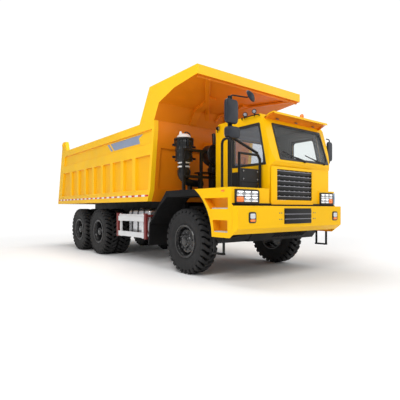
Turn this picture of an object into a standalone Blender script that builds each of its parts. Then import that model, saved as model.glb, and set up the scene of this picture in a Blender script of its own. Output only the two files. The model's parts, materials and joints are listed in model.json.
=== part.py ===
"""Mining dump truck: a wide off-road tipper with an offset cab, three axles and a front hoist.

Frame: X across (the truck's left is +X), Y along (the front is -Y), Z up, floor at Z = 0.
Lengths along Y are measured from a datum just ahead of the front axle. The empty "truck" moves
everything so that the origin is under the middle of the truck.
"""

import math

import bmesh
import bpy
from mathutils import Matrix, Vector

# Fits
GAP = 0.0003  # between pieces that touch
DOOR_GAP = 0.008  # round the door
RUNNING_GAP = 0.006  # between the lowered body and the rails under it
BEARING_GAP = 0.0003  # between a pin's edges and the flats of its bore
SLIDE_GAP = 0.0008  # between a hoist stage and the lip it slides in

# Overall
BODY_WIDTH = 3.25  # load body
DECK_WIDTH = 3.22  # bumper and fenders
FRONT_Y = -1.54  # face of the bumper
REAR_Y = 8.0  # lowest rear corner of the load body
REAR_LEAN = 0.52  # how far its top lies ahead of that

# Wheels
TYRE_DIAMETER = 1.37
TYRE_WIDTH = 0.375
TYRE_BORE = 0.64
TYRE_SHOULDER = 0.045
WHEEL_STEPS = 26
FRONT_AXLE_Y = 0.13
FRONT_TRACK = 2.715
REAR_TRACK = 2.30
TWIN_SPACING = 0.42
WHEELBASE = 4.41
TANDEM_PITCH = 1.55
KINGPIN_X = 1.08
KNUCKLE_HALF = 0.10
FORK_THICKNESS = 0.055
BEAD_INSET = 0.05  # from the tyre's side to its bead
RIM_WALL = 0.03
HUB_RADIUS = 0.13
SPINDLE_RADIUS = 0.06

# Chassis
RAIL_X = 0.43
RAIL_WIDTH = 0.10
RAIL_BOTTOM = 0.88
RAIL_TOP = 1.25
RAIL_REAR = 6.86
CROSS_SIZE = 0.10
AXLE_RADIUS = 0.10
AXLE_STEPS = 16
DIFFERENTIAL_RADIUS = 0.26
DIFFERENTIAL_HALF = 0.20
SPRING_X = 0.62
SPRING_WIDTH = 0.10

# Bumper, fenders and decks
BUMPER_DEPTH = 0.14
BUMPER_TOP = 1.41
BUMPER_BOTTOM = 1.0
FENDER_BOTTOM = 0.835
FENDER_FRONT = -1.37
DECK_TOP = 1.745
SHEET = 0.025
ARCH_Y = 0.25  # centre of the arch over the front wheel
ARCH_Z = 0.80
ARCH_RADIUS = 1.10
GUARD_THICKNESS = 0.02
GUARD_WIDTH = 0.63
STEP_DEPTH = 0.16
LAMP_BOTTOM = 1.45
LAMP_TOP = 1.71
LAMP_REAR = -1.32
RIGHT_LAMP = (-1.52, -0.91)
LEFT_LAMP = 1.04
NOSE_LEFT = 1.02  # where the cab's nose meets the left fender

# Cab
CAB_RIGHT = -0.57
CAB_LEFT = 1.43
CAB_FRONT = -1.35
CAB_BELT_FRONT = -1.42
CAB_REAR = 0.24
CAB_TOP = 3.25
CAB_WALL = 0.05
CAB_CORNER = 0.13  # radius of the front corners
BELT_Z = 2.24
HEADER_Z = 3.06
GLASS = 0.012
DOOR_HINGE_Y = -1.20
DOOR_HINGE_HEIGHTS = (1.98, 2.22)
REAR_PANE = (-0.25, 2.40, 1.10, 3.00)  # right, bottom, left and top of the rear window
SEAT_X = 0.93
SEAT_Y = -0.25
GRILLE_LEFT = 0.75
GRILLE_RIGHT = -0.39
GRILLE_BOTTOM = 1.53
GRILLE_TOP = 2.14
GRILLE_SLATS = 6

# Load body
HINGE_Y = 6.95
HINGE_Z = 1.30
HINGE_PIN_RADIUS = 0.038
SILL_BOTTOM = 1.53
SILL_TOP = 1.78
FLOOR_TOP = 1.78
FLOOR_THICKNESS = 0.06
SIDE_TOP = 3.40
SIDE_WALL = 0.125
POCKET_DEPTH = 0.055
RIB_TOP = 2.61
MID_RAIL_TOP = 2.87
BAND_TOP = 3.20
RIB_PITCH = 0.64
RIB_WIDTH = 0.16
FIRST_RIB_Y = 2.16
RIB_COUNT = 8
FRONT_POST = 0.09  # plain strip at the front of the side
REAR_POST = 0.36
FRONT_WALL = 0.10
BODY_FRONT = 1.19  # top of the front wall
BODY_FRONT_LOW = 1.37  # top of the sill at the front
PILLAR_TOP = 3.74
CANOPY_FRONT = -0.42
CANOPY_TOP = 4.20
CANOPY_SHEET = 0.05
LIP_HEIGHT = 0.19
GATE_THICKNESS = 0.12
GATE_HINGE_Y = 7.40
GATE_HINGE_Z = 3.62
GATE_TOP = 3.20
GATE_PIN_RADIUS = 0.036
PIN_STEPS = 24
BEAM_X = 0.43
BEAM_WIDTH = 0.10

# Hoist
HOIST_Y = 0.93
HOIST_FOOT_Z = 0.98
HOIST_EYE_Z = 2.90
HOIST_WALL = 0.012
HOIST_RADII = (0.125, 0.106, 0.088, 0.070)  # barrel and the three middle stages
ROD_RADIUS = 0.05
HOIST_TOP = 2.50  # of the barrel
STAGE_RISE = 0.07  # each stage stands this much above the one outside it
COLLAR = 0.007
HOIST_STEPS = 16

# Deck equipment
FILTER_X = -1.09
FILTER_Y = 0.66
FILTER_RADIUS = 0.22
MUFFLER_Y = 0.56
MUFFLER_Z = 2.54
MUFFLER_RADIUS = 0.265
FRAME_POST = 0.06
MAST_X = -1.38
MAST_Y = -1.10

AXLE_Z = TYRE_DIAMETER / 2 * math.cos(math.pi / WHEEL_STEPS)
MIDDLE_AXLE_Y = FRONT_AXLE_Y + WHEELBASE
REAR_AXLE_Y = MIDDLE_AXLE_Y + TANDEM_PITCH
TANDEM_Y = (MIDDLE_AXLE_Y + REAR_AXLE_Y) / 2
BUMPER_REAR = FRONT_Y + BUMPER_DEPTH
HALF_DECK = DECK_WIDTH / 2
HALF_BODY = BODY_WIDTH / 2
RAIL_OUT = RAIL_X + RAIL_WIDTH / 2
RAIL_IN = RAIL_X - RAIL_WIDTH / 2
CAB_FLOOR = DECK_TOP + GAP
DOOR_HINGE_X = CAB_LEFT + 0.015
MIDDLE_Y = (FRONT_Y + REAR_Y) / 2

YELLOW = (0.86, 0.52, 0.02)
BLACK = (0.02, 0.02, 0.022)
RUBBER = (0.03, 0.03, 0.03)
GREY = (0.10, 0.11, 0.13)
SILVER = (0.62, 0.63, 0.65)
WHITE = (0.80, 0.80, 0.78)
TINT = (0.20, 0.24, 0.26)
LENS = (0.85, 0.87, 0.90)

cutters = bpy.data.collections.new("cutters")
truck_parts = bpy.data.collections.new("mining_dump_truck")
pivots = {}


def clear_scene():
    for thing in list(bpy.data.objects):
        bpy.data.objects.remove(thing)
    for collection in (cutters, truck_parts):
        bpy.context.scene.collection.children.link(collection)


def pivot(name, at, parent=None):
    """An empty on a joint's axis; what turns there is its child."""
    empty = bpy.data.objects.new(name, None)
    truck_parts.objects.link(empty)
    empty.parent = pivots[parent][0] if parent else None
    start = pivots[parent][1] if parent else Vector((0, 0, 0))
    empty.location = Vector(at) - start
    pivots[name] = (empty, Vector(at))


def material(name, colour, roughness, metallic):
    made = bpy.data.materials.new(name)
    made.use_nodes = True
    shader = made.node_tree.nodes["Principled BSDF"]
    shader.inputs["Base Color"].default_value = (*colour, 1)
    shader.inputs["Roughness"].default_value = roughness
    shader.inputs["Metallic"].default_value = metallic
    return made


def helper(mesh):
    """A hidden piece that a Boolean adds or cuts away."""
    made = bpy.data.objects.new("helper", mesh)
    cutters.objects.link(made)
    made.hide_render = True
    made.display_type = "WIRE"
    return made


def part(name, shape, colour, on="truck", roughness=0.5, metallic=0.0):
    """Makes a shape a named part that moves with one pivot."""
    cutters.objects.unlink(shape)
    truck_parts.objects.link(shape)
    shape.name = name
    shape.data.name = name
    shape.hide_render = False
    shape.display_type = "TEXTURED"
    shape.data.materials.clear()
    shape.data.materials.append(material(name, colour, roughness, metallic))
    empty, at = pivots[on]
    for piece in pieces_of(shape):
        piece.parent = empty
        piece.location = piece.location - at
    return shape


def pieces_of(shape):
    """A shape and every helper its Booleans use."""
    found = [shape]
    for modifier in shape.modifiers:
        if modifier.type == "BOOLEAN":
            found += pieces_of(modifier.object)
    return found


def boolean(shape, operation, others):
    for other in others:
        modifier = shape.modifiers.new(operation.lower(), "BOOLEAN")
        modifier.operation = operation
        modifier.object = other
        modifier.solver = "EXACT"
    return shape


def fuse(shape, *others):
    return boolean(shape, "UNION", others)


def cut(shape, *others):
    return boolean(shape, "DIFFERENCE", others)


def common(shape, other):
    return boolean(shape, "INTERSECT", [other])


def block(low, high):
    """A box between two corners, in any order."""
    low, high = Vector(low), Vector(high)
    mesh = bpy.data.meshes.new("block")
    made = bmesh.new()
    size = [abs(a - b) for a, b in zip(low, high)]
    move = Matrix.Translation((low + high) / 2) @ Matrix.Diagonal((*size, 1))
    bmesh.ops.create_cube(made, size=1, matrix=move)
    made.to_mesh(mesh)
    made.free()
    return helper(mesh)


def rounded(shape, width, segments=2):
    modifier = shape.modifiers.new("rounded", "BEVEL")
    modifier.width = width
    modifier.segments = segments
    modifier.limit_method = "ANGLE"
    return shape


def to_mesh(curve_object, turn):
    """The curve's solid as a mesh, its caps welded to its sides."""
    bpy.context.scene.collection.objects.link(curve_object)
    graph = bpy.context.evaluated_depsgraph_get()
    mesh = bpy.data.meshes.new_from_object(curve_object.evaluated_get(graph))
    bpy.data.objects.remove(curve_object)
    made = bmesh.new()
    made.from_mesh(mesh)
    bmesh.ops.remove_doubles(made, verts=made.verts, dist=0.0001)
    bmesh.ops.transform(made, matrix=turn, verts=made.verts)
    bmesh.ops.recalc_face_normals(made, faces=made.faces)
    made.to_mesh(mesh)
    made.free()
    return helper(mesh)


TURNS = {
    "X": Matrix(((0, 0, 1), (1, 0, 0), (0, 1, 0))),
    "Y": Matrix(((1, 0, 0), (0, 0, -1), (0, 1, 0))),
    "Z": Matrix.Identity(3),
}


LEANS = {
    "X": Matrix.Rotation(math.pi / 2, 4, "Y"),
    "Y": Matrix.Rotation(-math.pi / 2, 4, "X"),
    "Z": Matrix.Identity(4),
}


def prism(axis, outline, start, end):
    """A flat outline, extruded along an axis. Outlines are (Y, Z) for X, (X, Z) for Y."""
    curve = bpy.data.curves.new("outline", "CURVE")
    curve.dimensions = "2D"
    curve.fill_mode = "BOTH"
    curve.extrude = abs(end - start) / 2
    spline = curve.splines.new("POLY")
    spline.points.add(len(outline) - 1)
    for point, (a, b) in zip(spline.points, outline):
        point.co = (a, b, 0, 1)
    spline.use_cyclic_u = True
    turn = TURNS[axis]
    along = turn @ Vector((0, 0, 1))
    middle = (start + end) / 2 * Vector([abs(c) for c in along])
    return to_mesh(bpy.data.objects.new("outline", curve), Matrix.Translation(middle) @ turn.to_4x4())


def tube(points, radius, smooth=1, closed=False):
    curve = bpy.data.curves.new("tube", "CURVE")
    curve.dimensions = "3D"
    curve.bevel_depth = radius
    curve.bevel_resolution = smooth
    curve.use_fill_caps = not closed
    spline = curve.splines.new("POLY")
    spline.points.add(len(points) - 1)
    for point, at in zip(spline.points, points):
        point.co = (*at, 1)
    spline.use_cyclic_u = closed
    return to_mesh(bpy.data.objects.new("tube", curve), Matrix.Identity(4))


def turned(profile, axis, at, steps=WHEEL_STEPS, ring=False):
    """A profile of (radius, height) points, run down its outer side, turned round an axis."""
    mesh = bpy.data.meshes.new("turned")
    edges = [(i, i + 1) for i in range(len(profile) - 1)]
    if ring:
        edges.append((len(profile) - 1, 0))
    mesh.from_pydata([(radius, 0, height) for radius, height in profile], edges, [])
    made = helper(mesh)
    screw = made.modifiers.new("turned", "SCREW")
    screw.steps = steps
    screw.render_steps = steps
    screw.use_merge_vertices = True
    screw.merge_threshold = 0.0001
    made.location = at
    # a half step turns a flat, and not an edge, towards the floor
    flat = Matrix.Rotation(math.pi / steps, 4, "Z")
    made.rotation_euler = (LEANS[axis] @ flat).to_euler()
    return made


def cylinder(axis, at, radius, half, steps=16):
    return turned([(0, half), (radius, half), (radius, -half), (0, -half)], axis, at, steps)


def bore_radius(pin, steps=16):
    """The radius of a faceted bore whose flats clear a pin turning in it."""
    return (pin + BEARING_GAP) / math.cos(math.pi / steps)


def arc(centre, radius, start, end, count):
    """Points along an arc, angles in degrees."""
    angles = [math.radians(start + (end - start) * i / count) for i in range(count + 1)]
    return [(centre[0] + radius * math.cos(a), centre[1] + radius * math.sin(a)) for a in angles]


def sided(side, x_from, x_to):
    """X limits on one side of the truck: 1 is the left, -1 the right."""
    return side * x_from, side * x_to


def between(a, b, share):
    return a + (b - a) * share


# Running gear


def tyre_profile(centre):
    """A closed ring: tread, shoulders, walls and bead, all round the wheel's own axis."""
    radius = TYRE_DIAMETER / 2
    half = TYRE_WIDTH / 2
    tread = half - TYRE_SHOULDER
    bead = half - BEAD_INSET
    bore = TYRE_BORE / 2
    wall = between(bore, radius, 0.55)
    return [
        (radius, centre + tread),
        (radius, centre - tread),
        (wall, centre - half),
        (bore, centre - bead),
        (bore, centre + bead),
        (wall, centre + half),
    ]


def add_front_wheel(word, side):
    spot = (side * FRONT_TRACK / 2, FRONT_AXLE_Y, AXLE_Z)
    tyre = turned(tyre_profile(0), "X", spot, ring=True)
    part(f"front_tyre_{word}", tyre, RUBBER, f"front_spin_{word}", 0.9)
    barrel = TYRE_BORE / 2 - GAP
    bead = TYRE_WIDTH / 2 - BEAD_INSET + GAP
    inner = barrel - RIM_WALL
    socket = bore_radius(SPINDLE_RADIUS, WHEEL_STEPS)
    hub, dish = 0.18, 0.06
    wall = 0.04
    # Heights run outwards: the dish is open towards the knuckle.
    outline = [
        (0, hub),
        (HUB_RADIUS, hub),
        (HUB_RADIUS + 0.01, dish),
        (inner, dish),
        (inner, bead),
        (barrel, bead),
        (barrel, -bead),
        (inner, -bead),
        (inner, dish - wall),
        (socket, dish - wall),
        (socket, hub - wall),
        (0, hub - wall),
    ]
    wheel = turned([(r, side * h) for r, h in outline], "X", spot)
    if side < 0:
        wheel.modifiers["turned"].use_normal_flip = True
    part(f"front_wheel_{word}", wheel, BLACK, f"front_spin_{word}", 0.45, 0.3)


def add_knuckle(word, side):
    """A steering knuckle: a kingpin barrel in the axle's fork, with the wheel's spindle."""
    x, y = side * KINGPIN_X, FRONT_AXLE_Y
    body = cylinder("Z", (x, y, AXLE_Z), 0.07, KNUCKLE_HALF)
    tip = side * (FRONT_TRACK / 2 + 0.13)
    spindle = cylinder("X", ((x + tip) / 2, y, AXLE_Z), SPINDLE_RADIUS, abs(tip - x) / 2)
    arm = block((x - 0.02, y + 0.04, AXLE_Z - 0.09), (x + 0.02, y + 0.26, AXLE_Z - 0.05))
    part(f"knuckle_{word}", fuse(body, spindle, arm), BLACK, f"steer_{word}", 0.5, 0.6)


def add_front_axle():
    """A dropped beam with a fork at each end, carried by two leaf springs under the rails."""
    y = FRONT_AXLE_Y
    fork = KINGPIN_X - 0.18  # inner face of the fork's back
    beam = block((-fork - 0.02, y - 0.07, AXLE_Z - 0.09), (fork + 0.02, y + 0.07, AXLE_Z + 0.07))
    pieces = []
    tall = KNUCKLE_HALF + FORK_THICKNESS + 0.005
    reach = 0.72  # half a leaf spring's length
    for side in (-1, 1):
        for up in (-1, 1):
            low, high = sided(side, fork + 0.03, KINGPIN_X + 0.05)
            near = AXLE_Z + up * (KNUCKLE_HALF + 2 * GAP)
            pieces.append(block((low, y - 0.05, near), (high, y + 0.05, near + up * FORK_THICKNESS)))
        low, high = sided(side, fork, fork + 0.07)
        pieces.append(block((low, y - 0.06, AXLE_Z - tall), (high, y + 0.06, AXLE_Z + tall)))
        x = side * RAIL_X
        end, seat = RAIL_BOTTOM - 0.04, AXLE_Z + 0.10
        leaf = [(y - reach, end), (y - 0.3, seat), (y + 0.3, seat), (y + reach, end)]
        end, seat = RAIL_BOTTOM - 0.07, AXLE_Z + 0.03
        leaf += [(y + reach, end), (y + 0.2, seat), (y - 0.2, seat), (y - reach, end)]
        pieces.append(prism("X", leaf, x - 0.045, x + 0.045))
        for hanger in (y - reach + 0.02, y + reach - 0.02):
            low = (x - 0.04, hanger - 0.04, RAIL_BOTTOM - 0.08)
            pieces.append(block(low, (x + 0.04, hanger + 0.04, RAIL_BOTTOM - GAP)))
    part("front_axle", fuse(beam, *pieces), BLACK, roughness=0.6, metallic=0.4)


def add_rear_axle(name, y):
    half = REAR_TRACK / 2 + TWIN_SPACING / 2 + 0.10
    housing = cylinder("X", (0, y, AXLE_Z), AXLE_RADIUS, REAR_TRACK / 2 - 0.34, AXLE_STEPS)
    ball = cylinder("Y", (0, y, AXLE_Z), DIFFERENTIAL_RADIUS, DIFFERENTIAL_HALF)
    ends = cylinder("X", (0, y, AXLE_Z), SPINDLE_RADIUS, half)
    part(name, fuse(housing, ball, ends), BLACK, roughness=0.6, metallic=0.4)


def add_rear_wheels(place, y, word, side):
    on = f"{place}_spin_{word}"
    spot = (side * REAR_TRACK / 2, y, AXLE_Z)
    outer = turned(tyre_profile(TWIN_SPACING / 2), "X", spot, ring=True)
    inner = turned(tyre_profile(-TWIN_SPACING / 2), "X", spot, ring=True)
    bore = TYRE_BORE / 2
    reach = TWIN_SPACING / 2 - TYRE_WIDTH / 2 + 0.09
    bridge = [(bore + 0.03, reach), (bore + 0.03, -reach), (bore, -reach), (bore, reach)]
    band = turned(bridge, "X", spot, ring=True)
    part(f"{place}_tyres_{word}", fuse(outer, inner, band), RUBBER, on, 0.9)
    barrel = bore - GAP
    end = TWIN_SPACING / 2 + TYRE_WIDTH / 2 - BEAD_INSET + 0.015
    dish = barrel - RIM_WALL
    socket = bore_radius(SPINDLE_RADIUS, WHEEL_STEPS)
    face = TWIN_SPACING / 2 - 0.17
    wall = 0.03
    outline = [
        (0, end),
        (HUB_RADIUS, end),
        (HUB_RADIUS + 0.02, face),
        (dish, face),
        (dish, end),
        (barrel, end),
        (barrel, -end),
        (dish, -end),
        (dish, face - wall),
        (socket, face - wall),
        (socket, end - wall),
        (0, end - wall),
    ]
    wheel = turned([(r, side * h) for r, h in outline], "X", spot)
    if side < 0:
        wheel.modifiers["turned"].use_normal_flip = True
    part(f"{place}_wheels_{word}", wheel, BLACK, on, 0.45, 0.3)


def add_rear_suspension():
    """Leaf packs over a trunnion between the two rear axles."""
    centre = TANDEM_Y
    low = AXLE_Z - 0.02
    shape = cylinder("X", (0, centre, low), 0.07, SPRING_X + 0.08)
    seat = AXLE_Z + AXLE_RADIUS * math.cos(math.pi / AXLE_STEPS) + GAP
    pieces = []
    for side in (-1, 1):
        x_low, x_high = sided(side, SPRING_X - SPRING_WIDTH / 2, SPRING_X + SPRING_WIDTH / 2)
        reach = TANDEM_PITCH / 2 + 0.09
        pack = [(centre + reach, seat + 0.05), (centre, seat + 0.15), (centre - reach, seat + 0.05)]
        pack += [(centre - reach, seat), (centre + reach, seat)]
        pieces.append(prism("X", pack, x_low, x_high))
        under = (x_low - 0.005, centre - 0.09, low - 0.09)
        pieces.append(block(under, (x_high + 0.005, centre + 0.09, seat + 0.03)))
        x_low, x_high = sided(side, RAIL_X - 0.02, RAIL_X + 0.03)
        bracket = (x_low, centre - 0.16, low - 0.08)
        pieces.append(block(bracket, (x_high, centre + 0.16, RAIL_BOTTOM - GAP)))
    part("rear_suspension", fuse(shape, *pieces), BLACK, roughness=0.6, metallic=0.4)


def add_chassis():
    rails = []
    front = BUMPER_REAR + GAP
    for side in (-1, 1):
        x_low, x_high = sided(side, RAIL_IN, RAIL_OUT)
        rails.append(block((x_low, front, RAIL_BOTTOM), (x_high, RAIL_REAR, RAIL_TOP)))
    half = CROSS_SIZE / 2
    cross = []
    low, high = RAIL_BOTTOM + 0.06, RAIL_TOP - 0.06
    for y in (-1.2, 1.65, 3.0, TANDEM_Y, RAIL_REAR - 0.08):
        cross.append(block((-RAIL_IN - 0.02, y - half, low), (RAIL_IN + 0.02, y + half, high)))
    for side in (-1, 1):
        # ears with the body's hinge pin
        x_low, x_high = sided(side, RAIL_IN - 0.045, RAIL_IN - 0.01)
        ear = [(RAIL_REAR - 0.3, RAIL_BOTTOM + 0.03), (HINGE_Y + 0.08, RAIL_BOTTOM + 0.2)]
        ear += [(HINGE_Y + 0.08, HINGE_Z + 0.06), (HINGE_Y - 0.08, HINGE_Z + 0.06)]
        ear.append((RAIL_REAR - 0.3, RAIL_TOP))
        cross.append(prism("X", ear, x_low, x_high))
        x_low, x_high = sided(side, RAIL_IN - 0.04, RAIL_IN + 0.02)
        low = (x_low, RAIL_REAR - 0.25, RAIL_BOTTOM + 0.08)
        cross.append(block(low, (x_high, RAIL_REAR - 0.05, RAIL_TOP - 0.05)))
        x_low, x_high = sided(side, RAIL_IN - 0.03, RAIL_OUT + 0.01)
        middle, pin_half = (x_low + x_high) / 2, abs(x_high - x_low) / 2
        cross.append(cylinder("X", (middle, HINGE_Y, HINGE_Z), HINGE_PIN_RADIUS, pin_half))
        # brackets of the hoist's foot
        x_low, x_high = sided(side, 0.19, RAIL_IN + 0.02)
        low = (x_low, HOIST_Y - 0.09, HOIST_FOOT_Z - 0.09)
        cross.append(block(low, (x_high, HOIST_Y + 0.09, HOIST_FOOT_Z + 0.09)))
        # cab mounts and body rests
        x = side * RAIL_X
        for y in (-1.05, 0.12):
            low = (x - 0.045, y - 0.05, RAIL_TOP - 0.02)
            cross.append(block(low, (x + 0.045, y + 0.05, DECK_TOP - SHEET - GAP)))
        low = (x - 0.045, 1.7, RAIL_TOP - 0.02)
        cross.append(block(low, (x + 0.045, 2.0, RAIL_TOP + RUNNING_GAP - GAP)))
    part("chassis_frame", fuse(rails[0], rails[1], *cross), BLACK, roughness=0.6, metallic=0.3)


def add_drive_line():
    engine = rounded(block((-0.35, -0.80, 0.90), (0.35, 0.35, 1.66)), 0.04, 1)
    sump = block((-0.22, -0.75, 0.78), (0.22, -0.2, 0.95))
    box_rear = HOIST_Y - 0.17
    gearbox = rounded(block((-0.20, 0.33, 0.66), (0.20, box_rear, 1.15)), 0.04, 1)
    feet = block((-RAIL_IN + GAP, -0.55, 1.02), (RAIL_IN - GAP, -0.45, 1.14))
    part("engine_block", fuse(engine, sump, gearbox, feet), GREY, roughness=0.6, metallic=0.5)
    ball = MIDDLE_AXLE_Y - DIFFERENTIAL_HALF
    ends = [(0, box_rear + GAP, 0.74), (0, 0.95, 0.74), (0, ball - 0.11, AXLE_Z), (0, ball - GAP, AXLE_Z)]
    part("drive_shaft", tube(ends, 0.05), GREY, roughness=0.5, metallic=0.6)


# Front end


def arch(radius, top):
    """The arch's curve at a radius, from a height down to the fender's foot."""
    start = 180 - math.degrees(math.asin((top - ARCH_Z) / radius))
    end = 180 - math.degrees(math.asin((FENDER_BOTTOM - ARCH_Z) / ARCH_RADIUS))
    return arc((ARCH_Y, ARCH_Z), radius, start, end, 6)


def fender_outline():
    """Side view of a front fender, from the arch's foot round to the arch's top."""
    foot = [arch(ARCH_RADIUS, DECK_TOP)[-1], (BUMPER_REAR + 0.08, FENDER_BOTTOM)]
    corner = [(BUMPER_REAR + GAP, FENDER_BOTTOM + 0.06), (BUMPER_REAR + GAP, BUMPER_TOP + 0.01)]
    top = [(FENDER_FRONT, BUMPER_TOP + 0.03), (FENDER_FRONT, DECK_TOP)]
    return foot + corner + top + arch(ARCH_RADIUS, DECK_TOP)[:-1]


def step_outlines():
    """The two foothold recesses, whose rear ends follow the arch."""
    upper = [(-1.29, 1.355), (-0.80, 1.355), (-0.62, 1.557), (-1.29, 1.557)]
    lower = [(-1.28, 0.93), (-0.91, 0.93), (-0.87, 1.15), (-1.28, 1.15)]
    return upper, lower


def grown(outline, by):
    """A convex outline moved outwards from its middle in Y and Z."""
    middle_y = sum(y for y, z in outline) / len(outline)
    middle_z = sum(z for y, z in outline) / len(outline)
    return [(y + math.copysign(by, y - middle_y), z + math.copysign(by, z - middle_z)) for y, z in outline]


def add_fender(word, side, deck_inner, face_inner):
    x_low, x_high = sided(side, HALF_DECK - SHEET, HALF_DECK)
    skin = prism("X", fender_outline(), x_low, x_high)
    outer = HALF_DECK - SHEET / 2
    arch_top = ARCH_Y - math.sqrt(ARCH_RADIUS**2 - (DECK_TOP - ARCH_Z) ** 2)
    top = block((side * outer, FENDER_FRONT, DECK_TOP - SHEET), (deck_inner, arch_top - 0.05, DECK_TOP))
    low = (side * outer, FENDER_FRONT, BUMPER_TOP + 0.03)
    front = block(low, (face_inner, FENDER_FRONT + SHEET, DECK_TOP))
    arm = block((side * outer, -1.27, 1.19), (side * (RAIL_OUT + GAP), -1.19, 1.245))
    pieces = [top, front, arm]
    pockets = []
    for outline in step_outlines():
        x_low, x_high = sided(side, HALF_DECK - STEP_DEPTH - SHEET, HALF_DECK - SHEET / 2)
        pieces.append(prism("X", grown(outline, SHEET), x_low, x_high))
        x_low, x_high = sided(side, HALF_DECK - STEP_DEPTH, HALF_DECK + 0.05)
        pockets.append(prism("X", outline, x_low, x_high))
    fuse(skin, *pieces)
    return cut(skin, *pockets)


def add_fenders():
    front = FENDER_FRONT - 0.1
    right = add_fender("right", -1, CAB_RIGHT - 0.03, CAB_RIGHT - 0.03)
    hole = block((RIGHT_LAMP[0], front, LAMP_BOTTOM), (RIGHT_LAMP[1], LAMP_REAR, LAMP_TOP))
    part("fender_right", cut(right, hole), YELLOW)
    left = add_fender("left", 1, NOSE_LEFT, NOSE_LEFT)
    hole = block((LEFT_LAMP, front, LAMP_BOTTOM), (HALF_DECK + 0.1, LAMP_REAR, LAMP_TOP))
    part("fender_left", cut(left, hole), YELLOW)


def add_mudguards():
    """A black liner that follows the arch, runs flat over the wheel and slants down behind it."""
    outline = [(y + 2 * GAP, z) for y, z in arch(ARCH_RADIUS, DECK_TOP)[::-1]]
    outline += [(0.70, DECK_TOP), (1.02, 1.42), (1.42, 1.02), (1.46, 0.50), (1.43, 0.50), (1.39, 1.00)]
    outline += [(0.99, 1.395), (0.67, DECK_TOP - 0.135)]
    outline += arch(ARCH_RADIUS - GUARD_THICKNESS, DECK_TOP - 0.135)
    for word, side in (("right", -1), ("left", 1)):
        x_low, x_high = sided(side, HALF_DECK - GUARD_WIDTH, HALF_DECK)
        shape = prism("X", outline, x_low, x_high)
        x_low, x_high = sided(side, RAIL_X - 0.03, HALF_DECK - GUARD_WIDTH + 0.05)
        beam = block((x_low, 0.52, 1.62), (x_high, 0.62, 1.68))
        x_low, x_high = sided(side, RAIL_X - 0.03, RAIL_X + 0.03)
        post = block((x_low, 0.52, RAIL_TOP + GAP), (x_high, 0.62, 1.66))
        part(f"mudguard_{word}", fuse(shape, beam, post), BLACK, roughness=0.7)


def add_bumper():
    profile = [
        (FRONT_Y, BUMPER_TOP),
        (FRONT_Y, BUMPER_BOTTOM),
        (BUMPER_REAR, FENDER_BOTTOM + 0.06),
        (BUMPER_REAR, BUMPER_TOP),
    ]
    beam = prism("X", profile, -HALF_DECK, HALF_DECK)
    vent = block((-0.36, FRONT_Y - 0.05, 1.07), (0.49, FRONT_Y + 0.05, 1.36))
    slats = []
    for row in range(3):
        z = 1.11 + row * 0.10
        slats.append(block((-0.38, FRONT_Y + 0.012, z), (0.51, FRONT_Y + 0.08, z + 0.035)))
    part("front_bumper", fuse(cut(beam, vent), *slats), YELLOW)


def add_headlights():
    front, rear = FENDER_FRONT - 0.02, LAMP_REAR - GAP
    low, high = LAMP_BOTTOM + GAP, LAMP_TOP - GAP
    case = block((RIGHT_LAMP[0] + GAP, front, low), (RIGHT_LAMP[1] - GAP, rear, high))
    part("headlight_right", case, LENS, roughness=0.2)
    case = block((LEFT_LAMP + GAP, front, low), (HALF_DECK + 0.02, rear, high))
    part("headlight_left", rounded(case, 0.02), LENS, roughness=0.2)


def add_hanging_step():
    """A U of round bar under the left end of the bumper."""
    top = FENDER_BOTTOM - GAP
    y_low, y_high = -1.18, -0.90
    x = HALF_DECK - SHEET / 2
    foot = 0.53
    loop = tube([(x, y_low, top), (x, y_low, foot), (x, y_high, foot), (x, y_high, top)], 0.012)
    part("step_left", loop, BLACK, roughness=0.6, metallic=0.3)


def add_handrail():
    """Rail frame on the right deck, with a closed panel low down and a tall hoop at the side."""
    deck = DECK_TOP + GAP
    y = -1.18
    bend = [(-1.22, y, deck), (-1.22, y, 2.40), (-0.72, y, 2.40), (-0.66, y, 2.32), (-0.66, y, deck)]
    frame = tube(bend, 0.03)
    panel = block((-1.22, y - 0.015, deck + 0.12), (-0.66, y + 0.015, 2.12))
    box = block((-1.17, y, deck), (-0.71, y + 0.32, 2.05))
    part("handrail_right", fuse(frame, panel, box), BLACK, roughness=0.5)


def add_mirrors():
    deck = DECK_TOP + GAP
    mast = tube([(MAST_X, MAST_Y, deck), (MAST_X, MAST_Y, 3.40)], 0.035, 2)
    tall = rounded(block((-1.557, MAST_Y - 0.10, 2.92), (-1.244, MAST_Y - 0.02, 3.37)), 0.03)
    wide = rounded(block((-1.54, MAST_Y - 0.12, 2.65), (-1.20, MAST_Y + 0.03, 2.87)), 0.04)
    arm = tube([(MAST_X, MAST_Y, 3.385), (-1.30, MAST_Y, 3.43), (-0.86, MAST_Y, 3.45)], 0.014)
    bowl = [(0, 0.02), (0.13, 0.02), (0.13, 0), (0, -0.05)]
    dish = turned(bowl, "Y", (-0.86, MAST_Y, 3.53), 20)
    strut = tube([(MAST_X, MAST_Y, 2.76), (-0.70, -1.16, 2.44)], 0.022)
    x = -1.53
    front = [(x, -1.0, deck), (x, -1.0, 2.55), (x, -0.94, 2.62)]
    rear = [(x, -0.78, 2.62), (x, -0.72, 2.55), (x, -0.72, deck)]
    hoop = tube(front + rear, 0.022)
    clamp = tube([(MAST_X, MAST_Y, 2.30), (x, -1.0, 2.30)], 0.018)
    pieces = (tall, wide, arm, strut, dish, hoop, clamp)
    part("mirror_right", fuse(mast, *pieces), GREY, roughness=0.5)
    x = CAB_LEFT + 0.09
    y = -1.27
    bar = tube([(CAB_LEFT + GAP, y, 2.38), (x, y, 2.38), (x, y, 2.95), (CAB_LEFT + GAP, y, 2.95)], 0.014)
    glass = rounded(block((x - 0.06, y - 0.06, 2.45), (x + 0.10, y + 0.01, 2.88)), 0.02)
    part("mirror_left", fuse(bar, glass), GREY, roughness=0.5)


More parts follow.
